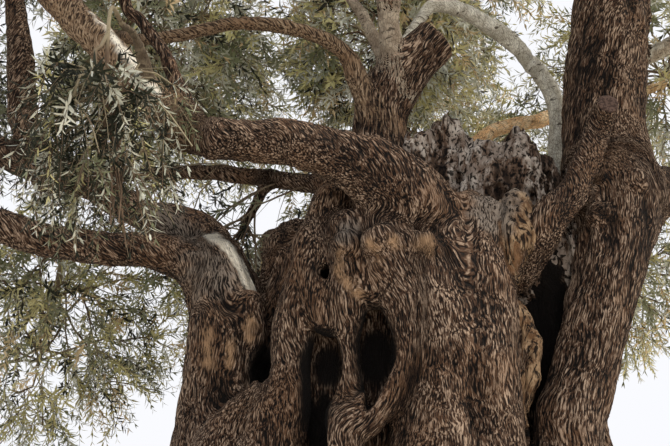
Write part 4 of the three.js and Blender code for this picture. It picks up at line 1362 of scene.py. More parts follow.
# The boughs that carry the back of the crown.
BACK_BOUGHS = (
    Limb("back_left_bough", (
        (-150, 250, 1950, 110), (-300, 650, 2520, 70), (-600, 850, 2650, 60), (-1200, 1050, 2780, 52),
        (-1850, 1500, 2900, 42),
    )),
    Limb("back_high_bough", (
        (-50, 250, 1950, 140), (-100, 900, 2800, 88), (-450, 1350, 3150, 70), (-1000, 1800, 3350, 58),
        (-1350, 2100, 3600, 46),
    )),
    Limb("back_bough", (
        (100, 250, 1900, 150), (160, 1000, 2700, 98), (180, 1600, 3100, 72), (150, 2250, 3320, 50),
    )),
    Limb("back_top_limb", ((165, 1150, 2820, 70), (200, 1400, 3500, 54), (280, 1700, 4420, 40))),
    Limb("back_low_bough", (
        (-350, 250, 1700, 120), (-520, 900, 2200, 86), (-760, 1600, 2450, 64), (-880, 2250, 2450, 46),
    )),
    Limb("hanging_limb", (
        (-735, 890, 2680, 50), (-775, 880, 2600, 38), (-850, 860, 2435, 33), (-925, 850, 2270, 24),
    )),
    Limb("back_right_bough", (
        (420, 200, 1850, 140), (800, 900, 2400, 92), (1200, 1500, 2700, 70), (1480, 2100, 2800, 50),
    )),
)


@dataclass(frozen=True)
class LeafShape:
    """An olive leaf: long and narrow, folded a little along its middle and bent back. Sizes in metres.

    Attributes:
        length: From its stalk to its tip.
        width: At its widest.
        steps: Rows of points between its ends, one or two.
        fold: How far its edges stand up, as a share of its width.
        bend: How far its tip bends back, as a share of its length.
    """

    length: float = 0.092
    width: float = 0.02
    steps: int = 1
    fold: float = 0.22
    bend: float = 0.12

    def blade(self, lean: float) -> tuple[Array, Array]:
        """Places and triangles of a leaf on a shoot along +Z, which leans out by an angle towards +X."""
        shares, broad = ((0.42,), (1.0,)) if self.steps == 1 else ((0.28, 0.66), (1.0, 0.86))
        points = [(0.0, 0.0, 0.0)]
        for share, wide in zip(shares, broad):
            for side in (-1, 0, 1):
                lift = self.fold * self.width * wide * abs(side) - self.bend * self.length * share**2
                points.append((side * wide * self.width / 2, lift, share * self.length))
        points.append((0.0, -self.bend * self.length, self.length))
        across, face, along = np.array(points).T
        sine, cosine = math.sin(lean), math.cos(lean)
        places = np.stack([along * sine - face * cosine, across, along * cosine + face * sine], 1)
        tip = len(points) - 1
        faces = [(0, 2, 1), (0, 3, 2), (tip, tip - 3, tip - 2), (tip, tip - 2, tip - 1)]
        for row in range(self.steps - 1):
            for side in (1, 2):
                a = 3 * row + side
                faces += [(a, a + 1, a + 4), (a, a + 4, a + 3)]
        return places, np.array(faces)

    def pair(self, name: str, leans: tuple[float, float], material: bpy.types.Material) -> bpy.types.Object:
        """Two leaves that face each other on a shoot, at their angles from it."""
        first, faces = self.blade(leans[0])
        second, _ = self.blade(leans[1])
        second = second * (-0.93, -0.93, 0.93)
        places = np.vstack([first, second])
        return mesh_object(name, places, np.vstack([faces, faces + len(first)]), material)


class Grower:
    """A Geometry Nodes tree, built in code, with named inputs."""

    def __init__(self, name: str, inputs: dict[str, tuple[str, object]]) -> None:
        """Starts a tree whose inputs each have a socket type and a value."""
        self.tree = bpy.data.node_groups.new(name, "GeometryNodeTree")
        self.tree.interface.new_socket("Geometry", in_out="INPUT", socket_type="NodeSocketGeometry")
        self.values: dict[str, object] = {}
        for label, (kind, value) in inputs.items():
            socket = self.tree.interface.new_socket(label, in_out="INPUT", socket_type=kind)
            self.values[socket.identifier] = value
        self.tree.interface.new_socket("Geometry", in_out="OUTPUT", socket_type="NodeSocketGeometry")
        self.source = self.tree.nodes.new("NodeGroupInput")
        self.sink = self.tree.nodes.new("NodeGroupOutput")

    def given(self, label: str) -> bpy.types.NodeSocket:
        """One of the tree's inputs."""
        return self.source.outputs[label]

    def node(
        self, kind: str, sockets: dict[str, object], output: str | int = "Geometry", **settings: object
    ) -> bpy.types.NodeSocket:
        """Adds a node and takes one of its outputs."""
        return add_node(self.tree, kind, settings, sockets).outputs[output]

    def attribute(self, name: str, kind: str) -> bpy.types.NodeSocket:
        """A value that the source mesh keeps under a name."""
        return self.node("GeometryNodeInputNamedAttribute", {"Name": name}, "Attribute", data_type=kind)

    def equals(self, value: bpy.types.NodeSocket, number: int) -> bpy.types.NodeSocket:
        """Whether a whole number is that number."""
        sockets = {"A_INT": value, "B_INT": number}
        return self.node("FunctionNodeCompare", sockets, "Result", data_type="INT", operation="EQUAL")

    def joined(self, parts: list[bpy.types.NodeSocket]) -> bpy.types.NodeSocket:
        """Several geometries as one."""
        node = self.tree.nodes.new("GeometryNodeJoinGeometry")
        for part in reversed(parts):
            self.tree.links.new(part, node.inputs[0])
        return node.outputs["Geometry"]

    def grow(self, seed: bpy.types.Object, name: str) -> bpy.types.Object:
        """Runs the tree on a seed mesh, which is then removed, and keeps the result as a plain mesh."""
        modifier = seed.modifiers.new("grow", "NODES")
        modifier.node_group = self.tree
        for identifier, value in self.values.items():
            modifier[identifier] = value
        bpy.context.view_layer.update()
        evaluated = seed.evaluated_get(bpy.context.evaluated_depsgraph_get())
        mesh = bpy.data.meshes.new_from_object(evaluated)
        seed.modifiers.remove(modifier)
        bpy.data.objects.remove(seed)
        mesh.name = name
        for spare in ("heading", "side", "size", "variant", "tint", "level", "thickness"):
            if spare in mesh.attributes:
                mesh.attributes.remove(mesh.attributes[spare])
        return linked(name, mesh)


class Level(Enum):
    """The kinds of line in the crown, by how many sides their skin has."""

    STEM = 7
    BOUGHLET = 5
    TWIG = 4
    SHOOT = 3


@dataclass
class Lines:
    """Lines that grow together: places, radii in metres, and their kind."""

    places: Array
    radii: Array
    level: Level


@dataclass(frozen=True)
class Mass:
    """A mass of foliage in its own space. Sizes in millimetres.

    Attributes:
        limb: The limb whose tip it hangs on.
        middle: The middle of its space.
        half: The half sizes of that space.
        light: How its leaves are tinted, painting the light and shade that fall on the mass.
        boughlets: How many boughlets it has.
        near_leaves: Whether its leaves are made for a near view.
        bare_share: The share of shoots with no leaves.
    """

    limb: str
    middle: Point
    half: Point
    light: Light = Light.OPEN
    boughlets: int = 14
    near_leaves: bool = False
    bare_share: float = 0.06


@dataclass(frozen=True)
class Growth:
    """How a mass grows. Lengths in metres, shares from 0 to 1, angles in radians.

    Attributes:
        stem_reach: How far the stem runs past the middle, as a share of the space's half height.
        thinnest_wood: The radius from which on the stem is a twig.
        reach: How far boughlets reach into the space, and the next tries where they don't fit.
        lift: How far a boughlet's middle rises.
        twigs: Twigs on a boughlet.
        twig_shoots: Leafy shoots on a twig.
        end_shoots: Leafy shoots on a boughlet's outer part.
        margin: How much nearer a place is to its own mass than to any other.
        gap: How far foliage stays from the limbs.
        outside: How far a shoot may reach past the CAD model's box.
        shrinks: The sizes at which a twig is tried, as shares of its length.
    """

    stem_reach: float = 0.4
    thinnest_wood: float = 0.023
    reach: tuple[float, ...] = (0.97, 0.86, 0.75, 0.64, 0.53, 0.42)
    lift: float = 0.1
    twigs: int = 5
    twig_length: tuple[float, float] = (0.26, 0.46)
    twig_spread: tuple[float, float] = (0.5, 0.95)
    twig_droop: float = 0.12
    twig_shoots: int = 4
    end_shoots: int = 5
    shoot_length: tuple[float, float] = (0.2, 0.38)
    shoot_spread: tuple[float, float] = (0.35, 0.9)
    shoot_droop: float = 0.3
    leaf_gap: float = 0.03
    margin: float = 0.02
    gap: float = 0.02
    outside: float = 0.012
    shrinks: tuple[float, ...] = (1.0, 0.8, 0.62, 0.45)
    stem_tip: float = 0.011
    boughlet_radii: tuple[float, float] = (0.0105, 0.0045)
    twig_radii: tuple[float, float] = (0.0048, 0.0026)
    shoot_radii: tuple[float, float] = (0.0026, 0.0012)


@dataclass(frozen=True)
class Crown:
    """All the masses of foliage, which grow on from the limbs' tips."""

    growth: Growth = Growth()
    hanging: Growth = Growth(
        twig_length=(0.2, 0.4), twig_droop=0.7, shoot_length=(0.2, 0.42), shoot_droop=0.9, leaf_gap=0.022,
        twigs=4, twig_shoots=3, end_shoots=4,
    )
    masses: dict[str, Mass] = field(default_factory=lambda: {
        "west_low": Mass("left_low_bough", (-3150, -500, 2300), (950, 850, 800), Light.OLIVE, 18),
        "west": Mass("left_high_bough", (-3300, 950, 3300), (1000, 1000, 950), Light.SHADED, 20),
        "west_high": Mass("left_upright", (-2650, 400, 4550), (950, 900, 850), Light.SHADED),
        "west_arm": Mass("west_arm", (-2850, -1050, 4150), (950, 900, 800), Light.SHADED),
        "front_left": Mass("west_riser", (-1650, -1750, 4650), (1000, 950, 800), Light.SHADED),
        "weeping": Mass("weeping_limb", (-1235, -1450, 2150), (430, 340, 570), Light.BACKLIT, 11, True, 0.2),
        "crossing": Mass("crossing_limb", (-1500, 750, 3650), (850, 750, 800), Light.OPEN, 20),
        "crown_centre": Mass("grey_limb", (-200, -450, 5450), (1100, 1050, 900)),
        "crown_left": Mass("slim_limb", (-1050, 950, 5200), (1050, 1000, 900), Light.OPEN, 15),
        "crown_right": Mass("left_fork", (900, 700, 5650), (1050, 1000, 850), Light.SUNLIT),
        "east_high": Mass("right_fork", (2400, 100, 5200), (1050, 1050, 900), Light.SUNLIT),
        "east": Mass("side_limb", (3150, -400, 3800), (1000, 1000, 950), Light.SUNLIT),
        "east_low": Mass("east_low_bough", (3050, 800, 2450), (950, 950, 850), Light.OPEN),
        "northeast": Mass("orange_limb", (2350, 1900, 3850), (1200, 1050, 1050), Light.SUNLIT, 22),
        "behind_stump": Mass("pale_arch", (50, 950, 3700), (850, 650, 750), Light.SUNLIT, 22),
        "northwest_low": Mass("back_left_bough", (-2500, 2150, 2000), (1150, 1000, 1150), Light.OLIVE, 24),
        "northwest": Mass("back_high_bough", (-1700, 2750, 4100), (1300, 1150, 1100), Light.SUNLIT, 32),
        "north": Mass("back_bough", (450, 3050, 3550), (1420, 1050, 1200), Light.SUNLIT, 44),
        "north_low": Mass("back_low_bough", (-850, 3000, 2050), (1050, 950, 950), Light.OLIVE, 20, bare_share=0.5),
        "north_top": Mass("back_top_limb", (450, 2200, 5150), (1300, 1150, 1000), Light.SUNLIT, 32),
        "northeast_low": Mass("back_right_bough", (1900, 2800, 2550), (1200, 1000, 1050), Light.SUNLIT, 22),
        "front": Mass("front_limb", (250, -2000, 4950), (1050, 950, 800)),
        "front_right": Mass("front_right_limb", (2000, -1950, 4700), (1050, 1000, 800), Light.SUNLIT),
    })
    bare_limbs: tuple[str, ...] = ("back_left_bough", "hanging_limb", "back_low_bough")
    regions: dict[str, tuple[str, ...]] = field(default_factory=lambda: {
        "left_side": ("west_low", "west", "west_high", "west_arm", "weeping"),
        "front_side": ("front_left", "crown_centre", "front", "front_right"),
        "middle": ("crossing", "crown_left", "crown_right", "behind_stump"),
        "right_side": ("east_high", "east", "east_low", "northeast"),
        "back_left": ("northwest_low", "northwest", "north_low"),
        "back_middle": ("north",),
        "back_right": ("north_top", "northeast_low"),
    })

    def stem(self, name: str, limb: Bone) -> tuple[Array, Array]:
        """Places and radii of a mass's stem: from its limb's tip by an elbow into its space and on."""
        mass = self.masses[name]
        stations = np.array(limb.stations, float) * MM
        line = smooth_line(stations[:, :3], 20)
        heading = unit(line[-1] - line[-2])
        middle, radius = np.array(mass.middle) * MM, stations[-1, 3]
        start = line[-1] - heading * radius * 0.6
        elbow = line[-1] + heading * 0.35 * np.linalg.norm(line[-1] - middle)
        onward = unit(middle - elbow)
        end = middle + onward * self.growth.stem_reach * mass.half[2] * MM
        places = smooth_line(np.array([start, elbow, middle, end]), 8)
        tip = self.growth.stem_tip
        shares = np.linspace(0, 3, len(places))
        radii = (radius * 0.95, radius * 0.72, (radius * 0.6 + tip) / 2, tip)
        return places, np.interp(shares, (0, 1, 2, 3), radii)

    def stem_bone(self, name: str, limb: Bone) -> Bone:
        """The thick part of a mass's stem, as a bone that carries on from its limb."""
        places, radii = self.stem(name, limb)
        count = max(3, int((radii > self.growth.thinnest_wood).sum()))
        picks = sorted({*range(0, count, 3), count - 1})
        stations = tuple((*(places[i] / MM), radii[i] / MM) for i in picks)
        return Bone(f"stem_of_{name}", stations, 22)

    def _owned(self, name: str, places: Array) -> Array:
        """Whether places lie in a mass's own space, nearer to its middle than to any other mass's."""
        outs = {
            other: np.linalg.norm((places - np.array(mass.middle) * MM) / (np.array(mass.half) * MM), axis=-1)
            for other, mass in self.masses.items()
        }
        own = outs.pop(name)
        return (own <= 1) & (np.min(list(outs.values()), axis=0) > own + self.growth.margin)

    def _boxed(self, places: Array) -> Array:
        """Whether places leave room for a leaf within the CAD model's box."""
        low, high = np.array(cad_box[0]) - self.growth.outside, np.array(cad_box[1]) + self.growth.outside
        return ((places > low) & (places < high)).all(-1)

    def _fitted(self, name: str, lines: Array, skeleton: Skeleton, growth: Growth) -> Array:
        """Lines that stay in their space and clear of the limbs, shortened where that helps."""
        roots, offsets = lines[:, :1], lines - lines[:, :1]
        best, found = lines.copy(), np.zeros(len(lines), bool)
        for shrink in growth.shrinks:
            tried = roots + offsets * shrink
            inner = tried[:, 1:].reshape(-1, 3)
            good = self._owned(name, inner) & skeleton.clear(inner, growth.gap) & self._boxed(inner)
            good = good.reshape(len(lines), -1).all(1) & ~found
            best[good] = tried[good]
            found |= good
        return best[found]

    @staticmethod
    def _sprout(
        parents: Array, count: int, span: tuple[float, float], length: tuple[float, float],
        spread: tuple[float, float], droop: float, random: np.random.Generator, points: int,
    ) -> Array:
        """Side growth along parent lines.

        Args:
            parents: The parent lines.
            count: New lines on each.
            span: Where along the parent they stand.
            length: Their shortest and longest length.
            spread: Their least and greatest angle from the parent.
            droop: How far their tips sink, as a share of their length.
            random: The seeded numbers.
            points: Points along each new line.

        Returns:
            The new lines.
        """
        shape = (len(parents), count)
        order = np.arange(count)
        share = span[0] + (span[1] - span[0]) * (order + random.random(shape)) / count
        spot = share * (parents.shape[1] - 1)
        low = np.minimum(spot.astype(int), parents.shape[1] - 2)
        rows = np.arange(len(parents))[:, None]
        before, after = parents[rows, low], parents[rows, low + 1]
        root = before + (after - before) * (spot - low)[..., None]
        onward = unit(after - before)
        sideways = unit(np.cross(onward, UP) + 1e-4)
        upright = np.cross(sideways, onward)
        turn = order * GOLDEN_ANGLE + random.uniform(0, 6.3, (len(parents), 1))
        turn = (turn + random.uniform(-0.5, 0.5, shape))[..., None]
        angle = random.uniform(*spread, shape)[..., None]
        out = sideways * np.cos(turn) + upright * np.sin(turn)
        heading = onward * np.cos(angle) + out * np.sin(angle)
        size = random.uniform(*length, shape)[..., None, None]
        t = np.linspace(0, 1, points)[:, None]
        lines = root[:, :, None] + size * (heading[:, :, None] * t - UP * droop * t**2)
        sway = random.normal(0, 0.035, (*shape, points, 3)) * size * np.minimum(t, 1)
        return (lines + sway).reshape(-1, points, 3)

    def boughlets(self, name: str, stem: Array, skeleton: Skeleton, random: np.random.Generator) -> Array:
        """Boughlets from a mass's stem to all sides of its space, by the golden angle."""
        mass = self.masses[name]
        middle, half = np.array(mass.middle) * MM, np.array(mass.half) * MM
        made = []
        for i in range(mass.boughlets):
            share = (i + 0.5) / mass.boughlets
            height = 1 - 2 * share
            bearing = i * GOLDEN_ANGLE + 0.6 * (random.random() - 0.5)
            level = math.sqrt(1 - height * height)
            outward = np.array([level * math.cos(bearing), level * math.sin(bearing), height])
            root = stem[int(round((0.42 + 0.58 * random.random()) * (len(stem) - 1)))]
            sway = random.normal(0, 0.022, (7, 3))
            for reach in self.growth.reach:
                tip = middle + outward * half * reach
                end = tip - unit(tip - root) * 0.22
                bend = (root + end) / 2 + UP * self.growth.lift * np.linalg.norm(end - root)
                t = np.linspace(0, 1, 7)[:, None]
                line = root * (1 - t) ** 2 + 2 * bend * t * (1 - t) + end * t**2 + sway * np.sin(np.pi * t)
                inner = line[2:]
                if self._owned(name, inner).all() and skeleton.clear(inner, self.growth.gap).all():
                    made.append(line)
                    break
        return np.array(made)

    def grow(self, name: str, limb: Bone, skeleton: Skeleton, seed: int) -> tuple[list[Lines], dict[str, Array]]:
        """Grows a mass.

        Args:
            name: The mass.
            limb: The limb that carries it.
            skeleton: All the limbs.
            seed: The mass's seed.

        Returns:
            Its lines, and its leaf pairs' places and directions.
        """
        random = np.random.default_rng(seed)
        growth = self.hanging if self.masses[name].near_leaves else self.growth
        stem, radii = self.stem(name, limb)
        thin = max(0, int((radii > growth.thinnest_wood).sum()) - 4)
        lines = [Lines(stem[None, thin:], radii[None, thin:] * 0.97, Level.STEM)]
        boughlets = self.boughlets(name, stem, skeleton, random)
        lines.append(Lines(boughlets, self._taper(boughlets, *growth.boughlet_radii), Level.BOUGHLET))
        twigs = self._sprout(
            boughlets, growth.twigs, (0.3, 0.98), growth.twig_length, growth.twig_spread, growth.twig_droop,
            random, 4,
        )
        twigs = self._fitted(name, twigs, skeleton, growth)
        lines.append(Lines(twigs, self._taper(twigs, *growth.twig_radii), Level.TWIG))
        shoots = [
            self._sprout(
                parents, count, span, growth.shoot_length, growth.shoot_spread, growth.shoot_droop, random, 3
            )
            for parents, count, span in (
                (twigs, growth.twig_shoots, (0.25, 0.95)),
                (twigs, 1, (0.99, 1.0)),
                (boughlets, growth.end_shoots, (0.55, 1.0)),
            )
        ]
        shoots = self._fitted(name, np.vstack(shoots), skeleton, growth)
        lines.append(Lines(shoots, self._taper(shoots, *growth.shoot_radii), Level.SHOOT))
        leafy = shoots[random.random(len(shoots)) > self.masses[name].bare_share]
        return lines, self._leaf_pairs(leafy, self.masses[name].light, growth, random)

    def bare_twigs(self, limbs: dict[str, Bone], skeleton: Skeleton) -> tuple[list[Lines], dict[str, Array]]:
        """Thin twigs, nearly bare, that hang from the shaded back boughs below the crown."""
        random = np.random.default_rng(7)
        paths = [smooth_line(np.array(limbs[name].stations, float)[:, :3] * MM, 8) for name in self.bare_limbs]
        parents = np.array([path[np.linspace(0, len(path) - 1, 12).astype(int)] for path in paths])
        twigs = self._sprout(parents, 13, (0.3, 1.0), (0.4, 0.8), (0.5, 1.2), 0.35, random, 6)
        twigs = twigs[self._free(twigs, skeleton)]
        shoots = self._sprout(twigs, 6, (0.2, 1.0), (0.18, 0.42), (0.4, 1.0), 0.3, random, 3)
        shoots = shoots[self._free(shoots, skeleton)]
        lines = [
            Lines(twigs, self._taper(twigs, 0.0075, 0.003), Level.TWIG),
            Lines(shoots, self._taper(shoots, 0.003, 0.0014), Level.SHOOT),
        ]
        leafy = shoots[random.random(len(shoots)) < 0.3]
        return lines, self._leaf_pairs(leafy, Light.SHADED, self.growth, random)

    def _free(self, lines: Array, skeleton: Skeleton) -> Array:
        """Which lines keep clear of the wood and within the box."""
        inner = lines[:, 1:].reshape(-1, 3)
        free = self._boxed(inner) & skeleton.clear(inner, 0.01)
        return free.reshape(len(lines), -1).all(1)

    @staticmethod
    def _taper(lines: Array, thick: float, thin: float) -> Array:
        """Radii that taper along lines."""
        return np.broadcast_to(np.linspace(thick, thin, lines.shape[1]), lines.shape[:2])

    @staticmethod
    def _leaf_pairs(shoots: Array, light: Light, growth: Growth, random: np.random.Generator) -> dict[str, Array]:
        """Where leaf pairs stand on shoots, each pair across the last.

        Args:
            shoots: The leafy shoots' lines.
            light: How their leaves are tinted, painting the light and shade on their mass.
            growth: How the mass grows.
            random: The seeded numbers.

        Returns:
            Places, headings, sides, sizes, variants and tints.
        """
        steps = np.diff(shoots, axis=1)
        lengths = np.linalg.norm(steps, axis=2).sum(1)
        most = int(lengths.max() / growth.leaf_gap)
        order = np.arange(most)
        share = (order + 0.6 + random.uniform(-0.2, 0.2, (len(shoots), most))) * growth.leaf_gap / lengths[:, None]
        share = np.where(order == np.floor(lengths[:, None] / growth.leaf_gap - 0.5), 0.995, share)
        picked = share < 1
        spot = share * (shoots.shape[1] - 1)
        low = np.minimum(spot.astype(int), shoots.shape[1] - 2)
        rows = np.arange(len(shoots))[:, None]
        places = shoots[rows, low] + steps[rows, low] * (spot - low)[..., None]
        heading = unit(steps[rows, low])
        sideways = unit(np.cross(heading, UP) + 1e-4)
        upright = np.cross(sideways, heading)
        turn = order * math.pi / 2 + random.uniform(0, 1.6, (len(shoots), 1))
        turn = (turn + random.normal(0, 0.35, share.shape))[..., None]
        side = sideways * np.cos(turn) + upright * np.sin(turn)
        size = random.uniform(0.78, 1.12, share.shape) * (1 - 0.3 * np.clip(share, 0, 1) ** 4)
        variant = np.where(share > 0.98, 3, random.integers(0, 3, share.shape))
        tint = np.broadcast_to(random.choice(len(Tint), len(shoots), p=light.value)[:, None], share.shape)
        odd = random.random(share.shape) < 0.12
        tint = np.where(odd, random.choice(len(Tint), share.shape, p=light.value), tint)
        found = {"heading": heading, "side": side, "size": size, "variant": variant, "tint": tint}
        return {"places": places[picked], **{key: value[picked] for key, value in found.items()}}

    def twig_grower(self, material: bpy.types.Material) -> Grower:
        """The tree that skins lines: each kind of line with its own number of sides."""
        inputs = {f"{level.name.capitalize()} sides": ("NodeSocketInt", level.value) for level in Level}
        grower = Grower("twig_skin", {**inputs, "Bark": ("NodeSocketMaterial", material)})
        level_of = grower.attribute("level", "INT")
        thickness = grower.attribute("thickness", "FLOAT")
        parts = []
        for i, level in enumerate(Level):
            sockets = {"Geometry": grower.given("Geometry"), "Selection": grower.equals(level_of, i)}
            picked = grower.node("GeometryNodeSeparateGeometry", sockets, "Selection", domain="POINT")
            curve = grower.node("GeometryNodeMeshToCurve", {"Mesh": picked}, "Curve")
            sockets = {"Resolution": grower.given(f"{level.name.capitalize()} sides"), "Radius": 1.0}
            ring = grower.node("GeometryNodeCurvePrimitiveCircle", sockets, "Curve", mode="RADIUS")
            sockets = {"Curve": curve, "Profile Curve": ring, "Scale": thickness, "Fill Caps": True}
            parts.append(grower.node("GeometryNodeCurveToMesh", sockets, "Mesh"))
        whole = grower.node("GeometryNodeRealizeInstances", {"Geometry": grower.joined(parts)})
        sockets = {"Geometry": whole, "Material": grower.given("Bark")}
        grower.tree.links.new(grower.node("GeometryNodeSetMaterial", sockets), grower.sink.inputs[0])
        return grower

    def leaf_grower(self, name: str, pairs: list[bpy.types.Object], materials: list[bpy.types.Material]) -> Grower:
        """The tree that sets a leaf pair on each place, in its tint's material."""
        inputs = {f"Pair {i + 1}": ("NodeSocketObject", pair) for i, pair in enumerate(pairs)}
        inputs.update({f"Tint {i + 1}": ("NodeSocketMaterial", material) for i, material in enumerate(materials)})
        grower = Grower(name, inputs)
        kinds = []
        for i in range(len(pairs)):
            pair = grower.node("GeometryNodeObjectInfo", {"Object": grower.given(f"Pair {i + 1}")})
            kinds.append(grower.node("GeometryNodeGeometryToInstance", {"Geometry": pair}, 0))
        axes = {
            "Primary Axis": grower.attribute("heading", "FLOAT_VECTOR"),
            "Secondary Axis": grower.attribute("side", "FLOAT_VECTOR"),
        }
        turn = grower.node("FunctionNodeAxesToRotation", axes, "Rotation", primary_axis="Z", secondary_axis="X")
        sockets = {
            "Points": grower.given("Geometry"), "Instance": grower.joined(kinds), "Pick Instance": True,
            "Instance Index": grower.attribute("variant", "INT"), "Rotation": turn,
            "Scale": grower.attribute("size", "FLOAT"),
        }
        set_out = grower.node("GeometryNodeInstanceOnPoints", sockets, "Instances")
        whole = grower.node("GeometryNodeRealizeInstances", {"Geometry": set_out})
        tint = grower.attribute("tint", "INT")
        for i in range(len(materials)):
            material = grower.given(f"Tint {i + 1}")
            sockets = {"Geometry": whole, "Selection": grower.equals(tint, i), "Material": material}
            whole = grower.node("GeometryNodeSetMaterial", sockets)
        grower.tree.links.new(whole, grower.sink.inputs[0])
        return grower

    @staticmethod
    def line_mesh(lines: list[Lines], material: bpy.types.Material) -> bpy.types.Object:
        """All lines as one mesh of edges, with their thickness and kind, for the twig tree to start from."""
        places, radii, levels, edges, count = [], [], [], [], 0
        for group in lines:
            total, points = group.places.shape[:2]
            numbers = count + np.arange(total * points).reshape(total, points)
            edges.append(np.stack([numbers[:, :-1].ravel(), numbers[:, 1:].ravel()], 1))
            places.append(group.places.reshape(-1, 3))
            radii.append(group.radii.reshape(-1))
            levels.append(np.full(total * points, list(Level).index(group.level)))
            count += total * points
        values = {"thickness": np.concatenate(radii), "level": np.concatenate(levels)}
        return seed_object("lines", np.vstack(places), np.vstack(edges), values, material)

    def build(self, carver: Carver, limbs: dict[str, Bone]) -> None:
        """Grows every mass on its limb and joins twigs and leaves into a few pieces."""
        bark = carver.material(TwigBark())
        tints = [carver.material(tint.value) for tint in Tint]
        far_shape, near_shape = LeafShape(), LeafShape(0.064, 0.011, 2, 0.2, 0.16)
        leans = ((0.8, 0.95), (1.05, 0.7), (0.6, 1.2), (0.32, 0.38))
        far = [far_shape.pair(f"far_pair_{i}", lean, tints[0]) for i, lean in enumerate(leans)]
        near = [near_shape.pair(f"near_pair_{i}", lean, tints[0]) for i, lean in enumerate(leans)]
        twig_grower = self.twig_grower(bark)
        leaf_growers = {
            False: self.leaf_grower("leaves", far, tints), True: self.leaf_grower("near_leaves", near, tints)
        }
        pieces = []
        for region, names in self.regions.items():
            lines: list[Lines] = []
            pairs: dict[bool, list[dict[str, Array]]] = {False: [], True: []}
            nodes = [f"leaves_{name}" for name in names]
            for name in names:
                seed = 100 + list(self.masses).index(name)
                grown, places = self.grow(name, limbs[self.masses[name].limb], carver.skeleton, seed)
                lines += grown
                pairs[self.masses[name].near_leaves].append(places)
            if region == "back_left":
                grown, places = self.bare_twigs(limbs, carver.skeleton)
                lines += grown
                pairs[False].append(places)
            twigs = twig_grower.grow(self.line_mesh(lines, bark), f"twigs_{region}")
            pieces.append((twigs, "bark", nodes))
            for close, found in pairs.items():
                if found:
                    joined = {key: np.concatenate([part[key] for part in found]) for key in found[0]}
                    points = seed_object("leaf_places", joined.pop("places"), np.empty((0, 2)), joined, tints[0])
                    kind = "hanging_leaves" if close else "leaves"
                    pieces.append((leaf_growers[close].grow(points, f"{kind}_{region}"), "leaves", nodes))
        for pair in (*far, *near):
            bpy.data.objects.remove(pair)
        for piece, slot, nodes in pieces:
            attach(piece, BODY)
            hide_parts(*nodes)
            log.info("%s: %d faces", piece.name, len(piece.data.polygons))


@dataclass(frozen=True)
class Studio:
    """A pale floor, a pale sky that lights from all round, and one soft sun. Sizes in metres."""

    floor_radius: float = 60.0
    floor_colour: tuple = linear(214, 208, 198)
    sky_colour: tuple = linear(250, 251, 255)
    sky_strength: float = 1.0
    sun_strength: float = 4.1
    sun_angle: float = 7.0
    sun_from: Point = (0.58, 0.02, 0.81)
    sun_colour: Point = (1.0, 0.9, 0.76)

    def build(self) -> None:
        """Makes the floor, the sky and the sun."""
        turns = np.linspace(0, 2 * math.pi, 64, endpoint=False)
        rim = self.floor_radius * np.stack([np.cos(turns), np.sin(turns), 0 * turns], 1)
        rim[:, 2] = -0.002
        board = Board("floor")
        speckle = board.noise(board.place(), 3.0, 2.0)
        colour = board.mixed(speckle * 0.1, self.floor_colour, linear(200, 194, 184))
        material = board.finish(colour, 0.9, speckle, 0.001)
        floor = mesh_object("floor", rim, np.arange(64)[None], material)
        world = bpy.data.worlds.new("sky")
        world.use_nodes = True
        sky = world.node_tree.nodes["Background"]
        sky.inputs["Color"].default_value = self.sky_colour
        sky.inputs["Strength"].default_value = self.sky_strength
        bpy.context.scene.world = world
        sun = bpy.data.lights.new("sun", "SUN")
        sun.energy, sun.angle, sun.color = self.sun_strength, math.radians(self.sun_angle), self.sun_colour
        linked("sun", sun).rotation_euler = Vector(self.sun_from).to_track_quat("Z", "Y").to_euler()
        bpy.context.scene.view_settings.view_transform = "Standard"


@dataclass(frozen=True)
class Viewpoint:
    """The camera where the photograph was taken from: low and near, looking a little up. Sizes in metres."""

    place: Point = (-0.30, -5.0, 0.80)
    pitch: float = 15.0
    lens: float = 50.0
    sensor: float = 36.0

    def build(self) -> None:
        """Makes the camera."""
        data = bpy.data.cameras.new("camera")
        data.lens, data.sensor_width, data.clip_end = self.lens, self.sensor, 300.0
        camera = linked("camera", data)
        camera.location = self.place
        camera.rotation_euler = (math.radians(90 + self.pitch), 0.0, 0.0)
        bpy.context.scene.camera = camera


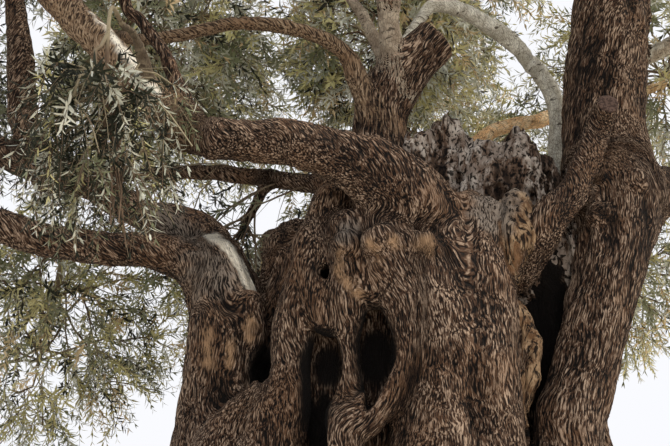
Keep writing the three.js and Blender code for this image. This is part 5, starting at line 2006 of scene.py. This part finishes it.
PATCHES = (
    # Pale streaks on the left stem's top and on the west arm: partly pale bark, partly painted highlight.
    Patch(Mark.PALE, ((-961, -150, 2033, 52), (-832, -160, 1882, 64), (-745, -170, 1740, 60)), 36),
    Patch(Mark.PALE, ((-1500, -780, 3040, 22), (-1330, -800, 2800, 30), (-1170, -800, 2580, 18)), 40),
    Patch(Mark.GREY, ((470, -560, 2020, 110), (560, -480, 2250, 90)), 90),
    Patch(Mark.GREY, ((-900, -200, 1760, 130), (-1250, 0, 2150, 90)), 120),
    Patch(Mark.GREY, ((-240, -640, 1960, 60), (-250, -680, 1900, 40)), 70),
    Patch(Mark.BARE, ((560, -560, 1950, 50), (560, -560, 1760, 34)), 60),
    # Painted shade down the deep cleft between the trunk and the right stem.
    Patch(
        Mark.DARK,
        ((760, -230, 2060, 120), (790, -250, 1700, 130), (750, -300, 1300, 95), (730, -380, 800, 90)),
        110,
    ),
    # Painted shade in the crotch at the right shoulder's top.
    Patch(Mark.DARK, ((980, 60, 1950, 170), (1000, 120, 2200, 120)), 140),
    Patch(Mark.GREY, ((640, -380, 2230, 80), (650, -400, 2130, 60)), 80),
    # Painted shade in a narrow groove between the burls, and a painted shadow along the ledge under the west bough.
    Patch(Mark.DARK, ((-160, -640, 1990, 18), (-166, -640, 1850, 24), (-140, -640, 1700, 20)), 44),
    Patch(Mark.DARK, ((-150, -700, 1950, 8), (30, -740, 1935, 8)), 34),
    Patch(Mark.TAN, ((132, -800, 1830, 36),), 90),
    Patch(Mark.TAN, ((-140, -770, 1840, 28), (-110, -770, 1770, 26)), 60),
    Patch(Mark.TAN, ((-20, -780, 1840, 26),), 60),
    Patch(Mark.TAN, ((-290, -680, 1810, 26), (-290, -680, 1720, 24), (-230, -690, 1660, 26)), 50),
    Patch(Mark.TAN, ((-190, -690, 1610, 30),), 50),
    Patch(Mark.TAN, ((-940, -360, 1470, 20), (-930, -365, 1330, 18)), 70),
    Patch(Mark.TAN, ((-818, -380, 1440, 14), (-815, -380, 1320, 14)), 60),
    Patch(Mark.TAN, ((-728, -360, 1540, 20), (-724, -360, 1450, 14)), 70),
)


def main() -> None:
    """Builds the tree, its light and its camera."""
    Viewpoint().build()
    Studio().build()
    trunk, crown = Trunk(), Crown()
    dead: list[DeadCrest | TornWood] = [DeadCrest(), TornWood()]
    limbs = {limb.name: limb for limb in (*LEFT_BOUGHS, *CENTRE_STUMP, *RIGHT_STEM, *BACK_BOUGHS)}
    stems = {name: crown.stem_bone(name, limbs[mass.limb]) for name, mass in crown.masses.items()}
    bones = [*trunk.bones(), *(bone for part in dead for bone in part.bones()), *limbs.values(), *stems.values()]
    carver = Carver(trunk, bones, PATCHES)
    wood = [piece for part in (trunk, *dead) for piece in part.pieces()]
    for piece in (*wood, *(limb.piece() for limb in limbs.values())):
        own = tuple(stems[name].name for name, mass in crown.masses.items() if mass.limb in piece.bones)
        carver.make(replace(piece, bones=(*piece.bones, *own)))
    crown.build(carver, limbs)


if __name__ == "__main__":
    main()
